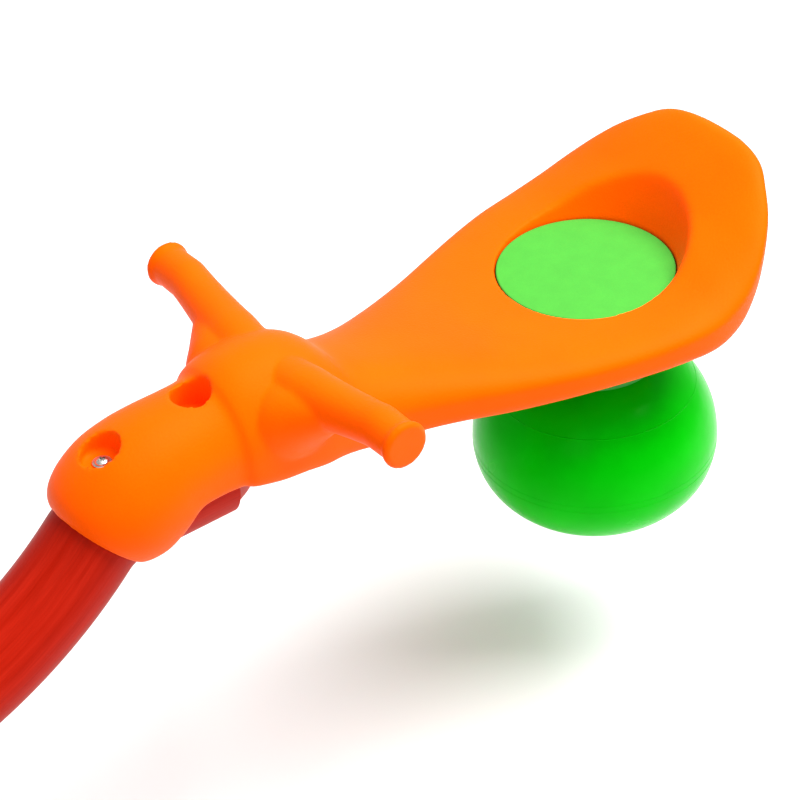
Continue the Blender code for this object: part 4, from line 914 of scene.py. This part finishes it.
addPiece("centre_sleeve", sleeveMesh(), platePaint, "beam", ["centre_bracket"])
addPiece("centre_sleeve_welds", sleeveWelds(), platePaint, "beam")
boltPlaces = [(x, -sleeve["boltSeat"], sleeve["beamZ"]) for x in sleeve["boltX"]]
nutPlaces = [(x, sleeve["boltSeat"], sleeve["beamZ"]) for x in sleeve["boltX"]]
bolt = {"across": 0.0072, "head": 0.0055, "nut": 0.0065, "shank": 0.0040}
hidden = {"shank": 0.0035, "length": 0.0002}   # a nut's own stub of shank stays inside the bolt's
addPiece("sleeve_bolts", hexRow(boltPlaces, (0.0, -1.0, 0.0), bolt["across"], bolt["head"], bolt["shank"],
                                sleeve["boltLength"]), zincPlate,
         "beam", ["sleeve_bolt_" + str(i) for i in (1, 2, 3, 4)])
addPiece("sleeve_nuts", hexRow(nutPlaces, (0.0, 1.0, 0.0), bolt["across"], bolt["nut"], hidden["shank"],
                               hidden["length"]), zincPlate,
         "beam", ["sleeve_nut_" + str(i) for i in (1, 2, 3, 4)])

bush = {"bore": 0.0085, "outer": 0.0115, "flange": 0.0022, "face": 0.0423, "depth": 0.028, "edge": 0.0005}
bushProfile = softened([(bush["bore"], -bush["depth"]), (bush["outer"], -bush["depth"]), (bush["outer"], 0.0),
                        (sleeve["hubRadius"], 0.0), (sleeve["hubRadius"], bush["flange"]),
                        (bush["bore"], bush["flange"])], bush["edge"], closed=True)
bushShape = lathe(bushProfile, 72, closed=True)
for number, side in (("1", -1.0), ("2", 1.0)):
    turn = alongY if side > 0.0 else Matrix.Rotation(math.pi / 2, 4, "X")
    addPiece("hub_bush_" + number, moved(bushShape,
                                         Matrix.Translation((0, side * bush["face"], axleZ)) @ turn),
             nylonWhite, "beam", ["axle_bush_" + number])
print("centre made")

# ---- yoke that turns on the post
kingBolt = {"across": 0.0105, "head": 0.0075, "shank": 0.006, "length": 0.026, "washer": 0.028,
            "thick": 0.004, "edge": 0.0006}
yoke = {"top": 0.205, "plate": 0.010, "halfLength": 0.075, "earInner": 0.0453, "earOuter": 0.0533,
        "earHalf": 0.034, "corner": 0.010, "edge": 0.0010, "spindle": 0.020, "spindleEnd": 0.0390,
        "axleHole": 0.0083, "axleDrill": 0.070, "kingHole": 0.0063, "bead": 0.0022, "spacing": 0.0016}


def cornered(mesh, radius):
    # only the upright edges, rounded in plan
    bm = bmesh.new()
    bm.from_mesh(mesh)
    upright = [edge for edge in bm.edges
               if abs((edge.verts[0].co - edge.verts[1].co).normalized().z) > 0.99]
    bmesh.ops.bevel(bm, geom=upright, offset=radius, segments=8, affect="EDGES", profile=0.5)
    return meshFrom(bm, "cornered")


def yokeMesh():
    low, high = yoke["top"] - yoke["plate"], yoke["top"]
    plate = cornered(boxMesh((-yoke["halfLength"], -yoke["earOuter"], low),
                             (yoke["halfLength"], yoke["earOuter"], high)), yoke["corner"])
    solids = []
    for side in (-1.0, 1.0):
        near, far = sorted((side * yoke["earInner"], side * yoke["earOuter"]))
        inset = 0.00004   # keeps two faces from lying in one plane
        solids.append(fuse(
            boxMesh((-yoke["earHalf"], near, low + 0.004), (yoke["earHalf"], far, axleZ)),
            rod(yoke["earHalf"] - inset, (0, near + inset, axleZ), (0, far - inset, axleZ), 96)))
    spindle = rod(yoke["spindle"], (0, 0, high - 0.003), (0, 0, yoke["spindleEnd"]), 72)
    solid = fuse(plate, *solids, spindle)
    solid = carve(solid, rod(yoke["axleHole"], (0, -yoke["axleDrill"], axleZ),
                             (0, yoke["axleDrill"], axleZ), 48),
                  rod(yoke["kingHole"], (0, 0, yoke["spindleEnd"] - 0.002),
                      (0, 0, yoke["spindleEnd"] + kingBolt["length"]), 32))
    return bevelled(solid, yoke["edge"], 2, 40.0)


def yokeWelds():
    routes = []
    for side in (-1.0, 1.0):
        y = side * (yoke["earInner"] - yoke["bead"] * 0.3)
        routes.append([Vector((x, y, yoke["top"])) for x in (-yoke["earHalf"], yoke["earHalf"])])
        for end in (-1.0, 1.0):
            routes.append([Vector((end * yoke["earHalf"], side * (yoke["earInner"] + reach), yoke["top"]))
                           for reach in (0.0, 0.0055)])
    ring = ringPoints(yoke["spindle"], yoke["top"] - yoke["plate"], 72)
    routes.append(ring + [ring[0]])
    return grow(weldTree, lineMesh(routes), platePaint, {"Bead": yoke["bead"], "Spacing": yoke["spacing"]})


addPiece("yoke", yokeMesh(), platePaint, "swivel", ["swivel_yoke"])
addPiece("yoke_welds", yokeWelds(), platePaint, "swivel")

axle = {"seat": 0.0536, "across": 0.0135, "head": 0.010, "nut": 0.012, "radius": 0.008, "nutShank": 0.0075,
        "length": 0.1207}
addPiece("axle_bolt", hexRow([(0.0, -axle["seat"], axleZ)], (0.0, -1.0, 0.0), axle["across"], axle["head"],
                             axle["radius"], axle["length"]), zincPlate, "swivel", ["axle"])
addPiece("axle_lock_nut", hexRow([(0.0, axle["seat"], axleZ)], (0.0, 1.0, 0.0), axle["across"], axle["nut"],
                                 axle["nutShank"], hidden["length"]), zincPlate, "swivel", ["axle_nut"])

cap = {"radius": 0.019, "depth": 0.022, "bore": 0.0145, "crown": 0.0072, "roll": 0.004}
capProfile = softened([(0.0, cap["depth"]), (cap["radius"] * 0.42, cap["depth"] * 0.97),
                       (cap["radius"] * 0.74, cap["depth"] * 0.82), (cap["radius"], cap["depth"] * 0.27),
                       (cap["radius"], 0.0), (cap["bore"], 0.0), (cap["bore"], cap["depth"] - cap["crown"]),
                       (0.0, cap["depth"] - cap["crown"])], cap["roll"], steps=6)
capShape = lathe(capProfile, 96)
for number, side in (("1", -1.0), ("2", 1.0)):
    turn = alongY if side > 0.0 else Matrix.Rotation(math.pi / 2, 4, "X")
    addPiece("cover_cap_" + number, moved(capShape,
                                          Matrix.Translation((0, side * axle["seat"], axleZ)) @ turn),
             capBlack, "swivel", ["axle_cap_" + number])

stop = {"radius": 0.0136, "waist": 0.0128, "edge": 0.0022}
for number in ("1", "2"):
    stopLow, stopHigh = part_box("rubber_stop_" + number)
    stopX = (stopLow.x + stopHigh.x) / 2.0
    tall = stopHigh.z - stopLow.z
    stopProfile = softened([(0.0, 0.0), (stop["radius"], 0.0), (stop["radius"], tall * 0.28),
                            (stop["waist"], tall * 0.5), (stop["radius"], tall * 0.72),
                            (stop["radius"], tall), (0.0, tall)], stop["edge"], steps=5)
    addPiece("buffer_" + number, moved(lathe(stopProfile, 72), Matrix.Translation((stopX, 0.0, stopLow.z))),
             rubberBlack, "swivel", ["rubber_stop_" + number])

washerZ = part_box("retaining_washer")[0].z
washerProfile = softened([(yoke["kingHole"], 0.0), (kingBolt["washer"], 0.0),
                          (kingBolt["washer"], kingBolt["thick"]),
                          (yoke["kingHole"], kingBolt["thick"])], kingBolt["edge"], closed=True)
addPiece("spindle_washer", moved(lathe(washerProfile, 96, closed=True), Matrix.Translation((0, 0, washerZ))),
         zincPlate, "swivel", ["retaining_washer"])
addPiece("spindle_bolt", hexRow([(0.0, 0.0, washerZ - joinGap)], (0.0, 0.0, -1.0), kingBolt["across"],
                                kingBolt["head"], kingBolt["shank"], kingBolt["length"]), zincPlate,
         "swivel", ["retaining_bolt"])
print("yoke made")

# ---- base
base = {"postRadius": 0.036, "postWall": 0.004, "postFoot": 0.045, "postTop": 0.1905, "stubRadius": 0.015,
        "stubEnd": 0.091, "legRadius": 0.019, "legWall": 0.003, "legZ": 0.100, "legBend": 0.110,
        "drop": math.radians(38.0), "reach": 0.380, "footLength": 0.060, "footWall": 0.005, "footZ": 0.0243,
        "boltOut": 0.066, "boltLength": 0.016, "legStart": 0.038, "soleHalf": 0.018, "footInner": 0.050,
        "edge": 0.0010}
headings = [math.radians(45.0 + 90.0 * i) for i in range(4)]


def legRoute():
    # out of the post level, down through a bend, and level again at the foot
    fall = base["legZ"] - base["footZ"]
    angle = base["drop"]
    if 2.0 * base["legBend"] * (1.0 - math.cos(angle)) > fall:
        angle = math.acos(1.0 - fall / (2.0 * base["legBend"]))
    bendOut, bendDown = base["legBend"] * math.sin(angle), base["legBend"] * (1.0 - math.cos(angle))
    slopeOut = (fall - 2.0 * bendDown) / math.tan(angle)
    flatStart = base["reach"] - base["footLength"]
    bendStart = flatStart - 2.0 * bendOut - slopeOut
    points = [(base["legStart"], base["legZ"]), (bendStart, base["legZ"])]
    for i in range(1, 13):
        a = angle * i / 12
        points.append((bendStart + base["legBend"] * math.sin(a),
                       base["legZ"] - base["legBend"] * (1.0 - math.cos(a))))
    for i in range(12, -1, -1):
        a = angle * i / 12
        points.append((flatStart - base["legBend"] * math.sin(a),
                       base["footZ"] + base["legBend"] * (1.0 - math.cos(a))))
    points.append((base["reach"], base["footZ"]))
    return [Vector((x, 0.0, z)) for x, z in points]


def postMesh():
    low, high = base["postFoot"], base["postTop"]
    solid = rod(base["postRadius"], (0, 0, low), (0, 0, high), 96)
    stubs = []
    for heading in headings:
        out = Vector((math.cos(heading), math.sin(heading), 0.0))
        up = Vector((0.0, 0.0, base["legZ"]))
        stubs.append(rod(base["stubRadius"], out * (base["postRadius"] - 0.002) + up,
                         out * base["stubEnd"] + up, 48))
    solid = fuse(solid, *stubs)
    bore = base["postRadius"] - base["postWall"]
    solid = carve(solid, rod(bore, (0, 0, low - 0.01), (0, 0, high + 0.01), 96))
    return bevelled(solid, base["edge"], 2, 40.0)


def footMesh():
    inner, outer = base["reach"] - base["footInner"], base["reach"] + base["footWall"]
    wide = base["legRadius"] + base["footWall"]
    boot = rod(wide, (inner, 0, base["footZ"]), (outer, 0, base["footZ"]), 72)
    sole = boxMesh((inner + 0.0001, -base["soleHalf"], 0.0),
                   (outer - 0.0001, base["soleHalf"], base["footZ"]))
    skin = melted(together(boot, sole), 0.0012, 6)
    return carve(skin, rod(base["legRadius"] + joinGap, (inner - 0.01, 0, base["footZ"]),
                           (base["reach"] + joinGap, 0, base["footZ"]), 72))


addPiece("post", postMesh(), platePaint, "base", ["base_post"])
legShape = pipe([legRoute()], base["legRadius"], base["legWall"], tubePaint, 64)
footShape = footMesh()
for number, heading in enumerate(headings, 1):
    turn = Matrix.Rotation(heading, 4, "Z")
    addPiece("leg_tube_" + str(number), moved(legShape, turn), tubePaint, "base", ["leg_" + str(number)])
    addPiece("boot_" + str(number), moved(footShape, turn), rubberBlack, "base", ["foot_" + str(number)])
legBoltPlaces = [(base["boltOut"] * math.cos(a), base["boltOut"] * math.sin(a),
                  base["legZ"] + base["legRadius"] + joinGap) for a in headings]
addPiece("leg_bolts", hexRow(legBoltPlaces, (0.0, 0.0, 1.0), bolt["across"], bolt["head"], bolt["shank"],
                             base["boltLength"]), zincPlate, "base",
         ["leg_bolt_" + str(i) for i in (1, 2, 3, 4)])
flange = {"radius": 0.036, "thick": 0.0037, "sleeve": 0.0314, "bore": 0.0205, "depth": 0.026, "edge": 0.0007}
flangeShape = lathe(softened([(flange["bore"], -flange["depth"]), (flange["sleeve"], -flange["depth"]),
                              (flange["sleeve"], 0.0), (flange["radius"], 0.0),
                              (flange["radius"], flange["thick"]),
                              (flange["bore"], flange["thick"])], flange["edge"], closed=True), 96,
                    closed=True)
upperPlace = Matrix.Translation((0, 0, base["postTop"] + joinGap))
lowerPlace = Matrix.Translation((0, 0, base["postFoot"] - joinGap)) @ Matrix.Rotation(math.pi, 4, "X")
for label, place in (("upper", upperPlace), ("lower", lowerPlace)):
    addPiece("post_bearing_" + label, moved(flangeShape, place), nylonWhite, "base", ["post_bush_" + label])
print("base made")

# ---- the ball studs stay as they are, hidden between cup and ball
for name in ("ball_stud_a", "ball_stud_b"):
    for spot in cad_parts[name].material_slots:
        spot.material = zincPlate

# ---- floor, light and camera
studio = {"world": 0.62, "key": 118.0, "keyPlace": (1.45, -0.5, 2.5), "keySize": 1.8, "fill": 8.0,
          "fillPlace": (-1.6, -1.6, 1.9), "fillSize": 1.4, "target": (0.6, 0.0, 0.4), "floorHalf": 9.0}
floorMesh = boxMesh((-studio["floorHalf"], -studio["floorHalf"], -0.02),
                    (studio["floorHalf"], studio["floorHalf"], 0.0))
floorFinish = bpy.data.materials.new("pale_paper")
floorFinish.use_nodes = True
floorFinish.node_tree.nodes["Principled BSDF"].inputs["Base Color"].default_value = linear("F4F4F4")
floorFinish.node_tree.nodes["Principled BSDF"].inputs["Roughness"].default_value = 0.9
floorMesh.materials.append(floorFinish)
floor = scratchObject(floorMesh, "floor")

world = bpy.data.worlds.new("studio")
world.use_nodes = True
world.node_tree.nodes["Background"].inputs["Color"].default_value = (1.0, 1.0, 1.0, 1.0)
world.node_tree.nodes["Background"].inputs["Strength"].default_value = studio["world"]
bpy.context.scene.world = world
bpy.context.scene.view_settings.view_transform = "Standard"


def addLight(name, place, target, size, power):
    data = bpy.data.lights.new(name, "AREA")
    data.shape = "SQUARE"
    data.size = size
    data.energy = power
    light = bpy.data.objects.new(name, data)
    light.location = place
    light.rotation_euler = (Vector(target) - Vector(place)).to_track_quat("-Z", "Y").to_euler()
    bpy.context.scene.collection.objects.link(light)


for label in ("key", "fill"):
    addLight(label + "Light", studio[label + "Place"], studio["target"], studio[label + "Size"],
             studio[label])

view = {"place": (-0.3253, -1.3944, 1.6399), "right": (0.7952, -0.6040, -0.0532),
        "up": (0.3961, 0.4511, 0.7998), "lens": 115.9}
cameraData = bpy.data.cameras.new("camera")
cameraData.lens = view["lens"]
cameraData.sensor_width = 36.0
cameraData.clip_start = 0.01
camera = bpy.data.objects.new("camera", cameraData)
bpy.context.scene.collection.objects.link(camera)
right = Vector(view["right"]).normalized()
upward = Vector(view["up"])
upward = (upward - right * upward.dot(right)).normalized()
back = right.cross(upward)
camera.matrix_world = Matrix.Translation(view["place"]) @ Matrix((right, upward, back)).transposed().to_4x4()
bpy.context.scene.camera = camera
print("stage set")
